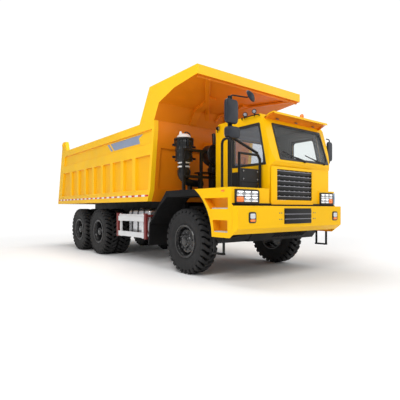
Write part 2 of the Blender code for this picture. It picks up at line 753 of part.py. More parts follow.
def add_deck_equipment():
    """Air filter, muffler and the frame that carries them behind the cab."""
    deck = DECK_TOP + GAP
    half = FRAME_POST / 2
    posts = []
    for x in (-1.28, -0.79, -0.52):
        posts.append(block((x - half, 0.50 - half, deck), (x + half, 0.50 + half, 2.70)))
    low = block((-1.28, 0.50 - half, 2.05), (-0.12, 0.50 + half, 2.11))
    high = block((-1.28, 0.50 - half, 2.64), (-0.52, 0.50 + half, 2.70))
    foot = block((-1.33, 0.42, deck), (-0.98, 0.60, deck + 0.03))
    shelf = block((-0.82, 0.40, 2.17), (-0.14, 0.72, 2.20))
    legs = []
    for x in (-0.77, -0.22):
        legs.append(block((x - half, 0.55, deck - 0.05), (x + half, 0.61, 2.19)))
    bridge = block((-0.95, 0.44, deck), (-0.20, 0.60, deck + 0.05))
    frame = fuse(posts[0], *posts[1:], low, high, foot, shelf, *legs, bridge)
    part("equipment_frame", frame, BLACK, roughness=0.55)
    shape = turned(
        [
            (0, 3.12),
            (0.09, 3.12),
            (0.15, 3.02),
            (0.23, 2.95),
            (FILTER_RADIUS, 2.90),
            (FILTER_RADIUS, 2.50),
            (0.16, 2.42),
            (0.16, 2.24),
            (0, 2.24),
        ],
        "Z",
        (FILTER_X, FILTER_Y + 0.10, 0),
        20,
    )
    axis_y = FILTER_Y + 0.10
    bend = [(FILTER_X, axis_y, 2.30), (-0.95, axis_y, 2.08), (-0.80, axis_y, 1.90), (-0.55, axis_y, 1.86)]
    duct = tube(bend, 0.11, 2)
    strap = block((-1.12, 0.50 + half + GAP, 2.65), (-1.06, 0.65, 2.69))
    part("air_filter", fuse(shape, duct, strap), BLACK, roughness=0.45)
    drum = cylinder("X", (-0.31, MUFFLER_Y, MUFFLER_Z), MUFFLER_RADIUS, 0.14, 24)
    pipe = tube([(-0.25, MUFFLER_Y + 0.12, MUFFLER_Z), (-0.25, MUFFLER_Y + 0.12, 3.16)], 0.045, 2)
    saddle = block((-0.43, MUFFLER_Y - 0.12, 2.20 + GAP), (-0.19, MUFFLER_Y + 0.12, 2.36))
    part("muffler", fuse(drum, pipe, saddle), BLACK, roughness=0.6)


def add_tanks_and_guards():
    top = 1.35
    rail = RAIL_OUT + GAP
    tank = rounded(block((-1.38, 1.81, 0.66), (-0.66, 2.92, top)), 0.08)
    hanger = block((-0.70, 2.1, 0.95), (-rail, 2.6, 1.15))
    part("fuel_tank", fuse(tank, hanger), SILVER, roughness=0.3, metallic=0.9)
    tank = rounded(block((0.66, 1.81, 0.70), (1.30, 2.55, 1.32)), 0.05)
    hanger = block((rail, 2.0, 0.95), (0.70, 2.4, 1.15))
    part("hydraulic_tank", fuse(tank, hanger), BLACK, roughness=0.5)
    for word, side in (("right", -1), ("left", 1)):
        pieces = []
        for z in (0.64, 1.04):
            x_low, x_high = sided(side, 1.49, 1.53)
            pieces.append(block((x_low, 1.83, z), (x_high, 3.20, z + 0.13)))
        for y in (1.90, 3.08):
            x_low, x_high = sided(side, 1.46, 1.50)
            pieces.append(block((x_low, y, 0.62), (x_high, y + 0.08, 1.24)))
        for y in (1.72, 3.24):
            x_low, x_high = sided(side, rail, 1.50)
            pieces.append(block((x_low, y, 1.16), (x_high, y + 0.05, 1.21)))
        x_low, x_high = sided(side, 1.46, 1.50)
        pieces.append(block((x_low, 1.72, 1.15), (x_high, 3.29, 1.22)))
        part(f"side_guard_{word}", fuse(pieces[0], *pieces[1:]), WHITE)


# Cab


def cab_outline(inset):
    """Side view of the cab, moved inwards by an inset."""
    return [
        (CAB_FRONT + inset, CAB_FLOOR + inset),
        (CAB_FRONT + inset, BELT_Z - 0.04),
        (CAB_BELT_FRONT + inset, BELT_Z + 0.05),
        (CAB_BELT_FRONT + 0.23 + inset, HEADER_Z + 0.06),
        (CAB_BELT_FRONT + 0.32 + inset, CAB_TOP - inset),
        (CAB_REAR - 0.10 - inset, CAB_TOP - inset),
        (CAB_REAR - inset, CAB_TOP - 0.10 - inset),
        (CAB_REAR - inset, CAB_FLOOR + inset),
    ]


def windshield_outline(shrink):
    return [
        (CAB_RIGHT + 0.25 + shrink, BELT_Z + 0.10 + shrink),
        (CAB_LEFT - 0.13 - shrink, BELT_Z + 0.10 + shrink),
        (CAB_LEFT - 0.17 - shrink, HEADER_Z - shrink),
        (CAB_RIGHT + 0.23 + shrink, HEADER_Z - shrink),
    ]


def cab_plan(inset):
    """The cab from above, with rounded front corners, moved inwards by an inset."""
    left, right = CAB_LEFT - inset, CAB_RIGHT + inset
    front, rear = CAB_BELT_FRONT + inset, CAB_REAR - inset
    radius = CAB_CORNER - inset
    corner_left = arc((left - radius, front + radius), radius, 0, -90, 4)
    corner_right = arc((right + radius, front + radius), radius, -90, -180, 4)
    return corner_left + corner_right + [(right, rear), (left, rear)]


def side_window_outline(shrink):
    return [
        (CAB_BELT_FRONT + 0.17 + shrink, BELT_Z + shrink),
        (CAB_BELT_FRONT + 0.34 + shrink, HEADER_Z - shrink),
        (-0.32 - shrink, HEADER_Z - shrink),
        (-0.32 - shrink, BELT_Z + shrink),
    ]


def door_outline(shrink):
    return [
        (DOOR_HINGE_Y + shrink, CAB_FLOOR + 0.08 + shrink),
        (DOOR_HINGE_Y + shrink, BELT_Z + 0.08),
        (-1.04 + shrink, HEADER_Z + 0.02 - shrink),
        (-0.26 - shrink, HEADER_Z + 0.02 - shrink),
        (-0.26 - shrink, CAB_FLOOR + 0.08 + shrink),
    ]


def door_window_outline(shrink):
    return [
        (-1.12 + shrink, BELT_Z + 0.10 + shrink),
        (-0.97 + shrink, HEADER_Z - 0.07 - shrink),
        (-0.35 - shrink, HEADER_Z - 0.07 - shrink),
        (-0.35 - shrink, BELT_Z + 0.10 + shrink),
    ]


def add_cab():
    tall = (CAB_FLOOR - 1.0, CAB_TOP + 1.0)
    outer = prism("X", cab_outline(0), CAB_RIGHT - 0.1, CAB_LEFT + 0.1)
    shell = common(outer, prism("Z", cab_plan(0), *tall))
    inner = prism("X", cab_outline(CAB_WALL), CAB_RIGHT - 0.1, CAB_LEFT + 0.1)
    room = common(inner, prism("Z", cab_plan(CAB_WALL), *tall))
    low = (CAB_RIGHT, CAB_FRONT, BUMPER_TOP + 0.02)
    nose = block(low, (NOSE_LEFT - GAP, CAB_FRONT + CAB_WALL, CAB_FLOOR + 0.1))
    grille = block((GRILLE_RIGHT, -1.6, GRILLE_BOTTOM), (GRILLE_LEFT, -1.25, GRILLE_TOP))
    front = prism("Y", windshield_outline(0), -1.7, -0.9)
    right = prism("X", side_window_outline(0), CAB_RIGHT - 0.1, CAB_RIGHT + 0.1)
    y = CAB_REAR - CAB_WALL / 2
    rear = block((REAR_PANE[0], y - 0.1, REAR_PANE[1]), (REAR_PANE[2], y + 0.1, REAR_PANE[3]))
    door = prism("X", door_outline(0), CAB_LEFT - 0.1, CAB_LEFT + 0.1)
    fuse(shell, nose)
    cut(shell, room, grille, front, right, rear, door)
    for z in DOOR_HINGE_HEIGHTS:
        z += 0.035 + GAP + 0.02
        low = (CAB_LEFT - 0.02, DOOR_HINGE_Y - 0.06, z - 0.02)
        leaf = block(low, (DOOR_HINGE_X + 0.008, DOOR_HINGE_Y - 0.004, z + 0.02))
        fuse(shell, leaf, *hinge_barrels([z], 0.02))
    part("cab_shell", shell, YELLOW)
    slope = 0.23 / (HEADER_Z + 0.06 - BELT_Z - 0.05)
    low, high = BELT_Z + 0.06, HEADER_Z + 0.05
    near = CAB_BELT_FRONT + 0.02
    pane = [
        (near + slope * (low - BELT_Z - 0.05), low),
        (near + slope * (low - BELT_Z - 0.05) + GLASS, low),
        (near + slope * (high - BELT_Z - 0.05) + GLASS, high),
        (near + slope * (high - BELT_Z - 0.05), high),
    ]
    sheet = prism("X", pane, CAB_RIGHT, CAB_LEFT)
    edge = prism("Y", windshield_outline(GAP), -1.7, -0.9)
    part("windshield", common(sheet, edge), TINT, roughness=0.05)
    middle = CAB_RIGHT + CAB_WALL / 2
    pane = prism("X", side_window_outline(GAP), middle - GLASS / 2, middle + GLASS / 2)
    part("cab_window_right", pane, TINT, roughness=0.05)
    right, bottom, left, top = REAR_PANE
    pane = block((right + GAP, y - GLASS / 2, bottom + GAP), (left - GAP, y + GLASS / 2, top - GAP))
    part("cab_window_rear", pane, TINT, roughness=0.05)


def add_grille():
    low = (GRILLE_RIGHT + GAP, CAB_FRONT - 0.02, GRILLE_BOTTOM + GAP)
    high = (GRILLE_LEFT - GAP, CAB_FRONT + 0.045, GRILLE_TOP - GAP)
    frame = block(low, high)
    border = 0.03
    corner = (low[0] + border, low[1] - 0.1, low[2] + border)
    cut(frame, block(corner, (high[0] - border, low[1] + 0.045, high[2] - border)))
    pitch = (high[2] - low[2] - 2 * border) / GRILLE_SLATS
    for row in range(GRILLE_SLATS):
        z = low[2] + border + row * pitch + 0.015
        corner = (low[0] + 0.01, low[1] + 0.005, z)
        fuse(frame, block(corner, (high[0] - 0.01, low[1] + 0.055, z + pitch * 0.45)))
    part("cab_grille", frame, BLACK, roughness=0.5)


def hinge_barrels(heights, half):
    """Barrels on the door's hinge line at the given heights."""
    return [cylinder("Z", (DOOR_HINGE_X, DOOR_HINGE_Y, z), 0.014, half, 10) for z in heights]


def add_door():
    x = CAB_LEFT
    panel = prism("X", door_outline(DOOR_GAP), x - CAB_WALL, x)
    hole = prism("X", door_window_outline(0), x - CAB_WALL - 0.1, x + 0.1)
    handle = block((x - 0.01, -0.42, 2.10), (x + 0.03, -0.30, 2.13))
    leaves = []
    for z in DOOR_HINGE_HEIGHTS:
        low = (x - 0.02, DOOR_HINGE_Y + 0.004, z - 0.035)
        leaves.append(block(low, (DOOR_HINGE_X + 0.008, DOOR_HINGE_Y + 0.06, z + 0.035)))
    barrels = hinge_barrels(DOOR_HINGE_HEIGHTS, 0.035)
    part("cab_door", fuse(cut(panel, hole), handle, *leaves, *barrels), YELLOW, "door_hinge")
    middle = x - CAB_WALL / 2
    pane = prism("X", door_window_outline(GAP), middle - GLASS / 2, middle + GLASS / 2)
    part("door_glass", pane, TINT, "door_hinge", 0.05)


def add_cab_inside():
    floor = CAB_FLOOR + CAB_WALL + GAP
    base = block((SEAT_X - 0.18, SEAT_Y - 0.22, floor), (SEAT_X + 0.18, SEAT_Y + 0.18, floor + 0.30))
    low = floor + 0.28
    pad = block((SEAT_X - 0.25, SEAT_Y - 0.28, low), (SEAT_X + 0.25, SEAT_Y + 0.26, low + 0.13))
    back = block((SEAT_X - 0.24, SEAT_Y + 0.16, low + 0.05), (SEAT_X + 0.24, SEAT_Y + 0.29, low + 0.74))
    rounded(pad, 0.03, 1)
    rounded(back, 0.03, 1)
    part("seat", fuse(base, pad, back), GREY, roughness=0.9)
    front = CAB_FRONT + CAB_WALL + 0.055
    desk = [(front, floor), (front, 2.27), (-1.10, 2.25), (-1.02, 2.12), (-1.12, floor)]
    shape = prism("X", desk, CAB_RIGHT + CAB_WALL + GAP, CAB_LEFT - CAB_WALL - 0.02)
    centre = Vector((SEAT_X, -0.88, 2.47))
    tilt = Matrix.Rotation(math.radians(-28), 4, "X")
    joint = -0.20  # where the column leaves its housing, along the column
    ends = [centre + tilt @ Vector((0, 0, reach)) for reach in (joint - GAP, -0.45)]
    housing = tube(ends, 0.045)
    part("dashboard", fuse(shape, housing), BLACK, roughness=0.7)
    ring = []
    for step in range(18):
        angle = math.tau * step / 18
        ring.append(centre + tilt @ Vector((0.22 * math.cos(angle), 0.22 * math.sin(angle), 0)))
    rim = tube(ring, 0.016, closed=True)
    spoke = tube([ring[0], centre, ring[9]], 0.012)
    column = tube([centre + tilt @ Vector((0, 0, reach)) for reach in (0.02, joint)], 0.03)
    part("steering_wheel", fuse(rim, spoke, column), BLACK, roughness=0.6)


# Load body


def side_outline():
    front = [(BODY_FRONT_LOW + 0.12, SILL_BOTTOM), (BODY_FRONT_LOW, SILL_TOP), (BODY_FRONT, BAND_TOP)]
    rear = rear_edge(PILLAR_TOP)
    top = [(BODY_FRONT, SIDE_TOP), (rear - 0.42, SIDE_TOP), (rear - 0.28, PILLAR_TOP), (rear, PILLAR_TOP)]
    return front + top + [(REAR_Y, SILL_BOTTOM)]


def front_edge(z):
    """Y of the body's front edge at a height."""
    share = (z - SILL_TOP) / (BAND_TOP - SILL_TOP)
    return between(BODY_FRONT_LOW, BODY_FRONT, share)


def rear_edge(z):
    """Y of the body's rear edge at a height."""
    share = (z - SILL_BOTTOM) / (PILLAR_TOP - SILL_BOTTOM)
    return between(REAR_Y, REAR_Y - REAR_LEAN, share)


def add_bed_side(word, side):
    x_low, x_high = sided(side, HALF_BODY - SIDE_WALL, HALF_BODY)
    wall = prism("X", side_outline(), x_low, x_high)
    x_low, x_high = sided(side, HALF_BODY - POCKET_DEPTH, HALF_BODY + 0.05)
    low, high = SILL_TOP + 0.03, RIB_TOP
    pockets = [[(front_edge(MID_RAIL_TOP) + FRONT_POST, MID_RAIL_TOP),
                (rear_edge(MID_RAIL_TOP) - REAR_POST, MID_RAIL_TOP),
                (rear_edge(BAND_TOP) - REAR_POST, BAND_TOP),
                (front_edge(BAND_TOP) + FRONT_POST, BAND_TOP)]]
    # between two ribs, or between an end rib and the post there, whose edge leans
    starts = [(front_edge(low) + FRONT_POST, front_edge(high) + FRONT_POST)]
    ends = []
    for i in range(RIB_COUNT):
        rib = FIRST_RIB_Y + RIB_PITCH * i
        starts.append((rib + RIB_WIDTH / 2, rib + RIB_WIDTH / 2))
        ends.append((rib - RIB_WIDTH / 2, rib - RIB_WIDTH / 2))
    ends.append((rear_edge(low) - REAR_POST, rear_edge(high) - REAR_POST))
    for start, end in zip(starts, ends):
        pockets.append([(start[0], low), (end[0], low), (end[1], high), (start[1], high)])
    cut(wall, *[prism("X", outline, x_low, x_high) for outline in pockets])
    spot = (side * (HALF_BODY - SIDE_WALL), GATE_HINGE_Y, GATE_HINGE_Z)
    cut(wall, cylinder("X", spot, bore_radius(GATE_PIN_RADIUS, PIN_STEPS), 0.08, PIN_STEPS))
    part(f"bed_side_{word}", wall, YELLOW, "bed_hinge")


def add_bed_floor():
    inside = HALF_BODY - SIDE_WALL - GAP
    low = FLOOR_TOP - FLOOR_THICKNESS
    rear = rear_edge(FLOOR_TOP) - GATE_THICKNESS - 0.05
    front = BODY_FRONT_LOW + 0.08 + FRONT_WALL
    plate = block((-inside, front, low), (inside, rear, FLOOR_TOP))
    pieces = []
    bottom = RAIL_TOP + RUNNING_GAP
    for side in (-1, 1):
        x_low, x_high = sided(side, BEAM_X - BEAM_WIDTH / 2, BEAM_X + BEAM_WIDTH / 2)
        pieces.append(block((x_low, front + 0.01, bottom), (x_high, HINGE_Y + 0.35, low + 0.01)))
    for i in range(RIB_COUNT):
        y = FIRST_RIB_Y + RIB_PITCH * i
        pieces.append(block((-inside, y - 0.05, SILL_BOTTOM + 0.03), (inside, y + 0.05, low + 0.01)))
    pieces.append(block((-inside, rear - 0.10, SILL_BOTTOM), (inside, rear, low + 0.01)))
    fuse(plate, *pieces)
    bore = cylinder("X", (0, HINGE_Y, HINGE_Z), bore_radius(HINGE_PIN_RADIUS), 1.0)
    part("bed_floor", cut(plate, bore), YELLOW, "bed_hinge")


def add_bed_front():
    """Front wall with its pockets, the cross beam under it and the ears of the hoist's eye."""
    inside = HALF_BODY - SIDE_WALL - GAP
    low_face = BODY_FRONT_LOW + 0.12
    profile = [
        (low_face, SILL_BOTTOM),
        (BODY_FRONT_LOW, SILL_TOP),
        (BODY_FRONT, BAND_TOP),
        (BODY_FRONT, SIDE_TOP),
        (BODY_FRONT + FRONT_WALL, SIDE_TOP),
        (BODY_FRONT_LOW + FRONT_WALL, SILL_TOP),
        (BODY_FRONT_LOW + 0.08 + FRONT_WALL - GAP, FLOOR_TOP),
        (BODY_FRONT_LOW + 0.08 + FRONT_WALL - GAP, SILL_BOTTOM),
    ]
    wall = prism("X", profile, -inside, inside)
    x_low, x_high = -inside + 0.10, inside - 0.10
    low, high = SILL_TOP + 0.06, MID_RAIL_TOP - 0.09
    near, far = front_edge(low), front_edge(high)
    panel = [(near - 0.1, low), (near + 0.04, low), (far + 0.04, high), (far - 0.1, high)]
    cut(wall, prism("X", panel, x_low, x_high))
    ears = []
    for side in (-1, 1):
        x_low, x_high = sided(side, 0.085, 0.125)
        ear = [(BODY_FRONT + 0.06, HOIST_EYE_Z - 0.16), (BODY_FRONT + 0.06, HOIST_EYE_Z + 0.16)]
        ear += [(HOIST_Y - 0.06, HOIST_EYE_Z + 0.07), (HOIST_Y - 0.06, HOIST_EYE_Z - 0.07)]
        ears.append(prism("X", ear, x_low, x_high))
    part("bed_front_wall", fuse(wall, *ears), YELLOW, "bed_hinge")


def canopy_under():
    """Underside of the canopy, from the front wall's top forwards to the lip."""
    return [(BODY_FRONT, SIDE_TOP + GAP), (0.99, 3.75), (0.38, 3.93), (CANOPY_FRONT, CANOPY_TOP - LIP_HEIGHT)]


def add_canopy():
    under = canopy_under()
    upper = [(y + CANOPY_SHEET * 0.6, z + CANOPY_SHEET) for y, z in under]
    upper[0] = (BODY_FRONT + FRONT_WALL, SIDE_TOP + GAP)
    half = HALF_BODY - 0.01
    sheet = prism("X", under + upper[::-1], -half + 0.02, half - 0.02)
    lip = block((-half, CANOPY_FRONT, CANOPY_TOP - LIP_HEIGHT), (half, CANOPY_FRONT + 0.05, CANOPY_TOP))
    pieces = [lip]
    seat = SIDE_TOP + GAP
    gusset = [(BODY_FRONT - 0.001, seat)] + under[1:] + [(CANOPY_FRONT + 0.02, CANOPY_TOP)]
    gusset += [(1.40, CANOPY_TOP), (1.88, seat)]
    for side in (-1, 1):
        x_low, x_high = sided(side, half - 0.05, half)
        pieces.append(prism("X", gusset, x_low, x_high))
    for x in (-0.53, 0.53):
        rib = [(y + 0.01, z + 0.01) for y, z in under[:3]] + [(under[2][0], under[2][1] - 0.05)]
        rib += [(under[1][0] - 0.04, under[1][1] - 0.06), (BODY_FRONT - 0.03, SIDE_TOP + 0.02)]
        pieces.append(prism("X", rib, x - 0.10, x + 0.10))
    part("bed_canopy", fuse(sheet, *pieces), YELLOW, "bed_hinge")


def add_tailgate():
    """The gate leans with the body's rear edge and hangs from pins at the top of the pillars."""
    wide = HALF_BODY - SIDE_WALL - DOOR_GAP
    low = SILL_BOTTOM + 0.02
    profile = [
        (rear_edge(low), low),
        (rear_edge(GATE_TOP), GATE_TOP),
        (rear_edge(GATE_TOP) - GATE_THICKNESS, GATE_TOP),
        (rear_edge(low) - GATE_THICKNESS, low),
    ]
    panel = prism("X", profile, -wide, wide)
    pieces = []
    for side in (-1, 1):
        x_low, x_high = sided(side, wide - 0.06, wide)
        arm = [
            (rear_edge(GATE_TOP - 0.3), GATE_TOP - 0.3),
            (GATE_HINGE_Y + 0.06, GATE_HINGE_Z + 0.05),
            (GATE_HINGE_Y - 0.06, GATE_HINGE_Z + 0.05),
            (rear_edge(GATE_TOP - 0.3) - GATE_THICKNESS, GATE_TOP - 0.3),
        ]
        pieces.append(prism("X", arm, x_low, x_high))
        x = side * (HALF_BODY - SIDE_WALL - 0.01)
        spot = (x, GATE_HINGE_Y, GATE_HINGE_Z)
        pieces.append(cylinder("X", spot, GATE_PIN_RADIUS, 0.05, PIN_STEPS))
    foot = low + 0.1
    for x in (-1.0, 0, 1.0):
        rib = [(rear_edge(foot) - 0.02, foot), (rear_edge(foot) + 0.015, foot)]
        rib += [(rear_edge(GATE_TOP) + 0.015, GATE_TOP), (rear_edge(GATE_TOP) - 0.02, GATE_TOP)]
        pieces.append(prism("X", rib, x - 0.06, x + 0.06))
    part("tailgate", fuse(panel, *pieces), YELLOW, "tailgate_hinge")


def add_hoist():
    """A telescopic hoist: barrel on the chassis, three middle stages and the rod with its eye."""
    foot = HOIST_FOOT_Z
    spot = (0, HOIST_Y, 0)
    radii = HOIST_RADII + (ROD_RADIUS,)
    names = ("hoist_barrel", "hoist_stage_1", "hoist_stage_2", "hoist_stage_3")
    for i, name in enumerate(names):
        outer = radii[i]
        inner = outer - HOIST_WALL
        low = foot - 0.04 if i == 0 else foot + 0.10 + 0.03 * i
        high = HOIST_TOP + STAGE_RISE * i
        lip = radii[i + 1] + SLIDE_GAP
        collar = outer + COLLAR
        profile = [(lip, high), (collar, high), (collar, high - 0.05), (outer, high - 0.05), (outer, low)]
        if i == 0:
            profile += [(0, low), (0, low + 0.10), (inner, low + 0.10)]
        else:
            profile += [(inner, low)]
        profile += [(inner, high - 0.06), (lip, high - 0.04)]
        body = turned(profile, "Z", spot, HOIST_STEPS, ring=True)
        if i == 0:
            fuse(body, cylinder("X", (0, HOIST_Y, foot), 0.06, 0.19 - GAP))
        part(name, body, GREY, "hoist_foot" if i == 0 else f"slide_{i}", 0.35, 0.8)
    ends = (HOIST_EYE_Z - 0.03, foot + 0.24)
    profile = [(0, ends[0]), (ROD_RADIUS, ends[0]), (ROD_RADIUS, ends[1]), (0, ends[1])]
    rod = turned(profile, "Z", spot, HOIST_STEPS)
    eye = cylinder("X", (0, HOIST_Y, HOIST_EYE_Z), 0.06, 0.06)
    part("hoist_rod", fuse(rod, eye), SILVER, "slide_4", 0.2, 1.0)


def add_pivots():
    pivot("world", (0, 0, 0))
    pivot("truck", (0, 0, 0), "world")
    pivots["truck"][0].location.y = -MIDDLE_Y
    for word, side in (("right", -1), ("left", 1)):
        pivot(f"steer_{word}", (side * KINGPIN_X, FRONT_AXLE_Y, AXLE_Z), "truck")
        pivot(f"front_spin_{word}", (side * FRONT_TRACK / 2, FRONT_AXLE_Y, AXLE_Z), f"steer_{word}")
        pivot(f"middle_spin_{word}", (side * REAR_TRACK / 2, MIDDLE_AXLE_Y, AXLE_Z), "truck")
        pivot(f"rear_spin_{word}", (side * REAR_TRACK / 2, REAR_AXLE_Y, AXLE_Z), "truck")
    pivot("door_hinge", (DOOR_HINGE_X, DOOR_HINGE_Y, BELT_Z), "truck")
    pivot("bed_hinge", (0, HINGE_Y, HINGE_Z), "truck")
    pivot("tailgate_hinge", (0, GATE_HINGE_Y, GATE_HINGE_Z), "bed_hinge")
    pivot("hoist_foot", (0, HOIST_Y, HOIST_FOOT_Z), "truck")
    outside = "hoist_foot"
    for i in range(1, len(HOIST_RADII) + 1):
        pivot(f"slide_{i}", (0, HOIST_Y, HOIST_FOOT_Z), outside)
        outside = f"slide_{i}"


def main():
    clear_scene()
    add_pivots()
    add_chassis()
    add_drive_line()
    add_front_axle()
    add_rear_axle("middle_axle", MIDDLE_AXLE_Y)
    add_rear_axle("rear_axle", REAR_AXLE_Y)
    add_rear_suspension()
    for word, side in (("right", -1), ("left", 1)):
        add_knuckle(word, side)
        add_front_wheel(word, side)
        add_rear_wheels("middle", MIDDLE_AXLE_Y, word, side)
        add_rear_wheels("rear", REAR_AXLE_Y, word, side)
        add_bed_side(word, side)
    add_bumper()
    add_fenders()
    add_mudguards()
    add_headlights()
    add_hanging_step()
    add_handrail()
    add_mirrors()
    add_deck_equipment()
    add_tanks_and_guards()
    add_cab()
    add_grille()
    add_door()
    add_cab_inside()
    add_bed_floor()
    add_bed_front()
    add_canopy()
    add_tailgate()
    add_hoist()


main()
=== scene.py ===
import json
import math

import bmesh
import bpy
import numpy as np
from mathutils import Euler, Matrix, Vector

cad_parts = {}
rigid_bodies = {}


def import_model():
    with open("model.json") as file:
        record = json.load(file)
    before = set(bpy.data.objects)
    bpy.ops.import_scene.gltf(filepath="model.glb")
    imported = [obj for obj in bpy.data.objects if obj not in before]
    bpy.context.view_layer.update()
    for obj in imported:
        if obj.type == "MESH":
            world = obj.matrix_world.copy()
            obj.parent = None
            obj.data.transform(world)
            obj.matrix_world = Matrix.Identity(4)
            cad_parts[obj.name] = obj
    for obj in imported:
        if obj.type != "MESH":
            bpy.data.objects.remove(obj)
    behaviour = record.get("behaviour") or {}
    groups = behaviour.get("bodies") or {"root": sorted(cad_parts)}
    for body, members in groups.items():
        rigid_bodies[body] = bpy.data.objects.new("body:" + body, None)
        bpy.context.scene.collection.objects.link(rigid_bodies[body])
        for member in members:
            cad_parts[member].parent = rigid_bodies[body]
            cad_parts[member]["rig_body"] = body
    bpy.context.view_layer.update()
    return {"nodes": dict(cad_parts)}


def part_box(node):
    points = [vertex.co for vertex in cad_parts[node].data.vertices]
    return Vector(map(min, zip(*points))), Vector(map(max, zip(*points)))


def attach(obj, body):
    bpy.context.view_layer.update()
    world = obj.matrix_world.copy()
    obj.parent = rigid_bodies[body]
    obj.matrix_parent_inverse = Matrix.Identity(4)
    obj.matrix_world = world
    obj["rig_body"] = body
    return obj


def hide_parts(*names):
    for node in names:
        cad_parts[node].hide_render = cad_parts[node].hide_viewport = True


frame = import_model()
scene = bpy.context.scene


def boxOf(node):
    # the lowest and the highest corner of a CAD node at rest
    return [np.array(corner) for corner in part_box(node)]


# a shape is a pair (points, faces): an n by 3 array and a list of index tuples
def gridFaces(rows, columns, closeRows=False, closeColumns=False):
    # quad (i, j) joins grid points (i, j), (i+1, j), (i+1, j+1), (i, j+1), wrapping where a way is closed
    i, j = np.meshgrid(
        np.arange(rows if closeRows else rows - 1),
        np.arange(columns if closeColumns else columns - 1), indexing="ij")
    a, b = i % rows, (i + 1) % rows
    c, d = j % columns, (j + 1) % columns
    quads = np.stack([a * columns + c, b * columns + c, b * columns + d, a * columns + d], -1)
    return [tuple(q) for q in quads.reshape(-1, 4).tolist()]


def gridShape(points, closeRows=False, closeColumns=False, capRows=False):
    # points is rows by columns by 3; capRows closes the first and last row with a polygon each
    rows, columns = points.shape[:2]
    faces = gridFaces(rows, columns, closeRows, closeColumns)
    if capRows:
        faces += [tuple(range(columns)), tuple(range(rows * columns - 1, (rows - 1) * columns - 1, -1))]
    return points.reshape(-1, 3), faces


def joined(shapes):
    # lists the points of every shape one after another, and shifts each shape's indices to match
    points, faces, start = [], [], 0
    for shapePoints, shapeFaces in shapes:
        points.append(np.asarray(shapePoints, float))
        faces += [tuple(k + start for k in face) for face in shapeFaces]
        start += len(shapePoints)
    return np.concatenate(points), faces


def grouped(*groups):
    # joins lists of shapes, and numbers each face by its list, which is its material
    picks = []
    for number, shapes in enumerate(groups):
        picks += [number] * sum(len(shape[1]) for shape in shapes)
    return joined([shape for shapes in groups for shape in shapes]), picks


def repeated(shape, offsets):
    # one copy of the shape at each offset
    points, faces = shape
    return joined([(points + np.asarray(offset), faces) for offset in offsets])


def turned(shape, angles=(0, 0, 0), centre=(0, 0, 0)):
    # turns by Euler angles in degrees about the origin, then moves to the centre
    points, faces = shape
    matrix = np.array(Euler([math.radians(a) for a in angles]).to_matrix())
    return points @ matrix.T + np.asarray(centre, float), faces


def ringed(shape, count, radius, axis="x", start=0.0):
    # copies that stand at equal angles round an axis, each turned by its own angle
    order = {"x": (1, 0, 0), "y": (0, 1, 0), "z": (0, 0, 1)}[axis]
    shapes = []
    for k in range(count):
        angle = start + 360.0 * k / count
        matrix = np.array(Euler([math.radians(angle) * o for o in order]).to_matrix())
        out = {"x": (0, 0, radius), "y": (radius, 0, 0), "z": (radius, 0, 0)}[axis]
        shapes.append(((shape[0] + np.array(out)) @ matrix.T, shape[1]))
    return joined(shapes)


def lathe(profile, steps=48, axis="x"):
    # turns (along, radius) pairs about an axis; a closed profile wraps, an open one ends on the axis
    # or at a rim
    along, radius = np.array(profile, float).T
    angle = np.radians(np.linspace(0, 360, steps, endpoint=False))
    ring = np.stack([
        np.broadcast_to(along[None, :], (len(angle), len(along))),
        np.cos(angle)[:, None] * radius, np.sin(angle)[:, None] * radius], -1)
    order = {"x": (0, 1, 2), "y": (2, 0, 1), "z": (1, 2, 0)}[axis]
    points = ring[..., order]
    wraps = np.allclose(profile[0], profile[-1])
    if wraps:
        points = points[:, :-1]
    return gridShape(points, closeRows=True, closeColumns=wraps)


def superellipse(width, height, power=8.0, steps=40):
    # |x/a|^p + |y/b|^p = 1, so a high power gives a rectangle with round corners
    t = np.linspace(0, 2 * math.pi, steps, endpoint=False)
    c, s = np.cos(t), np.sin(t)
    return np.stack([
        np.sign(c) * np.abs(c) ** (2 / power) * width / 2,
        np.sign(s) * np.abs(s) ** (2 / power) * height / 2], -1)


def roundedOutline(corners, radius, steps=6):
    # each corner of a closed outline gives way to an arc, drawn as a quadratic curve from side to side
    corners = np.array(corners, float)
    before, after = np.roll(corners, 1, 0) - corners, np.roll(corners, -1, 0) - corners
    radius = np.broadcast_to(radius, (len(corners),))[:, None]
    start = corners + before / np.linalg.norm(before, axis=1)[:, None] * radius
    end = corners + after / np.linalg.norm(after, axis=1)[:, None] * radius
    t = np.linspace(0, 1, steps + 1)[None, :, None]
    arc = (1 - t) ** 2 * start[:, None] + 2 * t * (1 - t) * corners[:, None] + t ** 2 * end[:, None]
    return arc.reshape(-1, corners.shape[1])


def pillow(outline, depth, edge=0.01, crown=0.0, steps=4):
    # a plate in XY from z 0 to depth; its rim turns in by a quarter circle at each face
    outline = np.array(outline, float)
    centre = outline.mean(0)
    size = np.abs(outline - centre).max()
    t = np.radians(np.linspace(0, 90, steps))
    inward = np.concatenate([edge * (1 - np.sin(t)), edge * (1 - np.cos(t))])
    height = np.concatenate([edge * (1 - np.cos(t)), depth - edge * (1 - np.sin(t))])
    scale = 1 - inward / size
    rings = centre + (outline - centre)[None] * scale[:, None, None]
    points = np.concatenate([rings, np.broadcast_to(height[:, None, None], rings.shape[:2] + (1,))], -1)
    shape = gridShape(points[:, ::-1], closeColumns=True, capRows=False)
    rows, columns = points.shape[:2]
    middle = np.array([[centre[0], centre[1], 0.0], [centre[0], centre[1], depth + crown]])
    faces = shape[1]
    last = (rows - 1) * columns
    faces += [(rows * columns, k, (k + 1) % columns) for k in range(columns)]
    faces += [(rows * columns + 1, last + (k + 1) % columns, last + k) for k in range(columns)]
    return np.concatenate([shape[0], middle]), faces


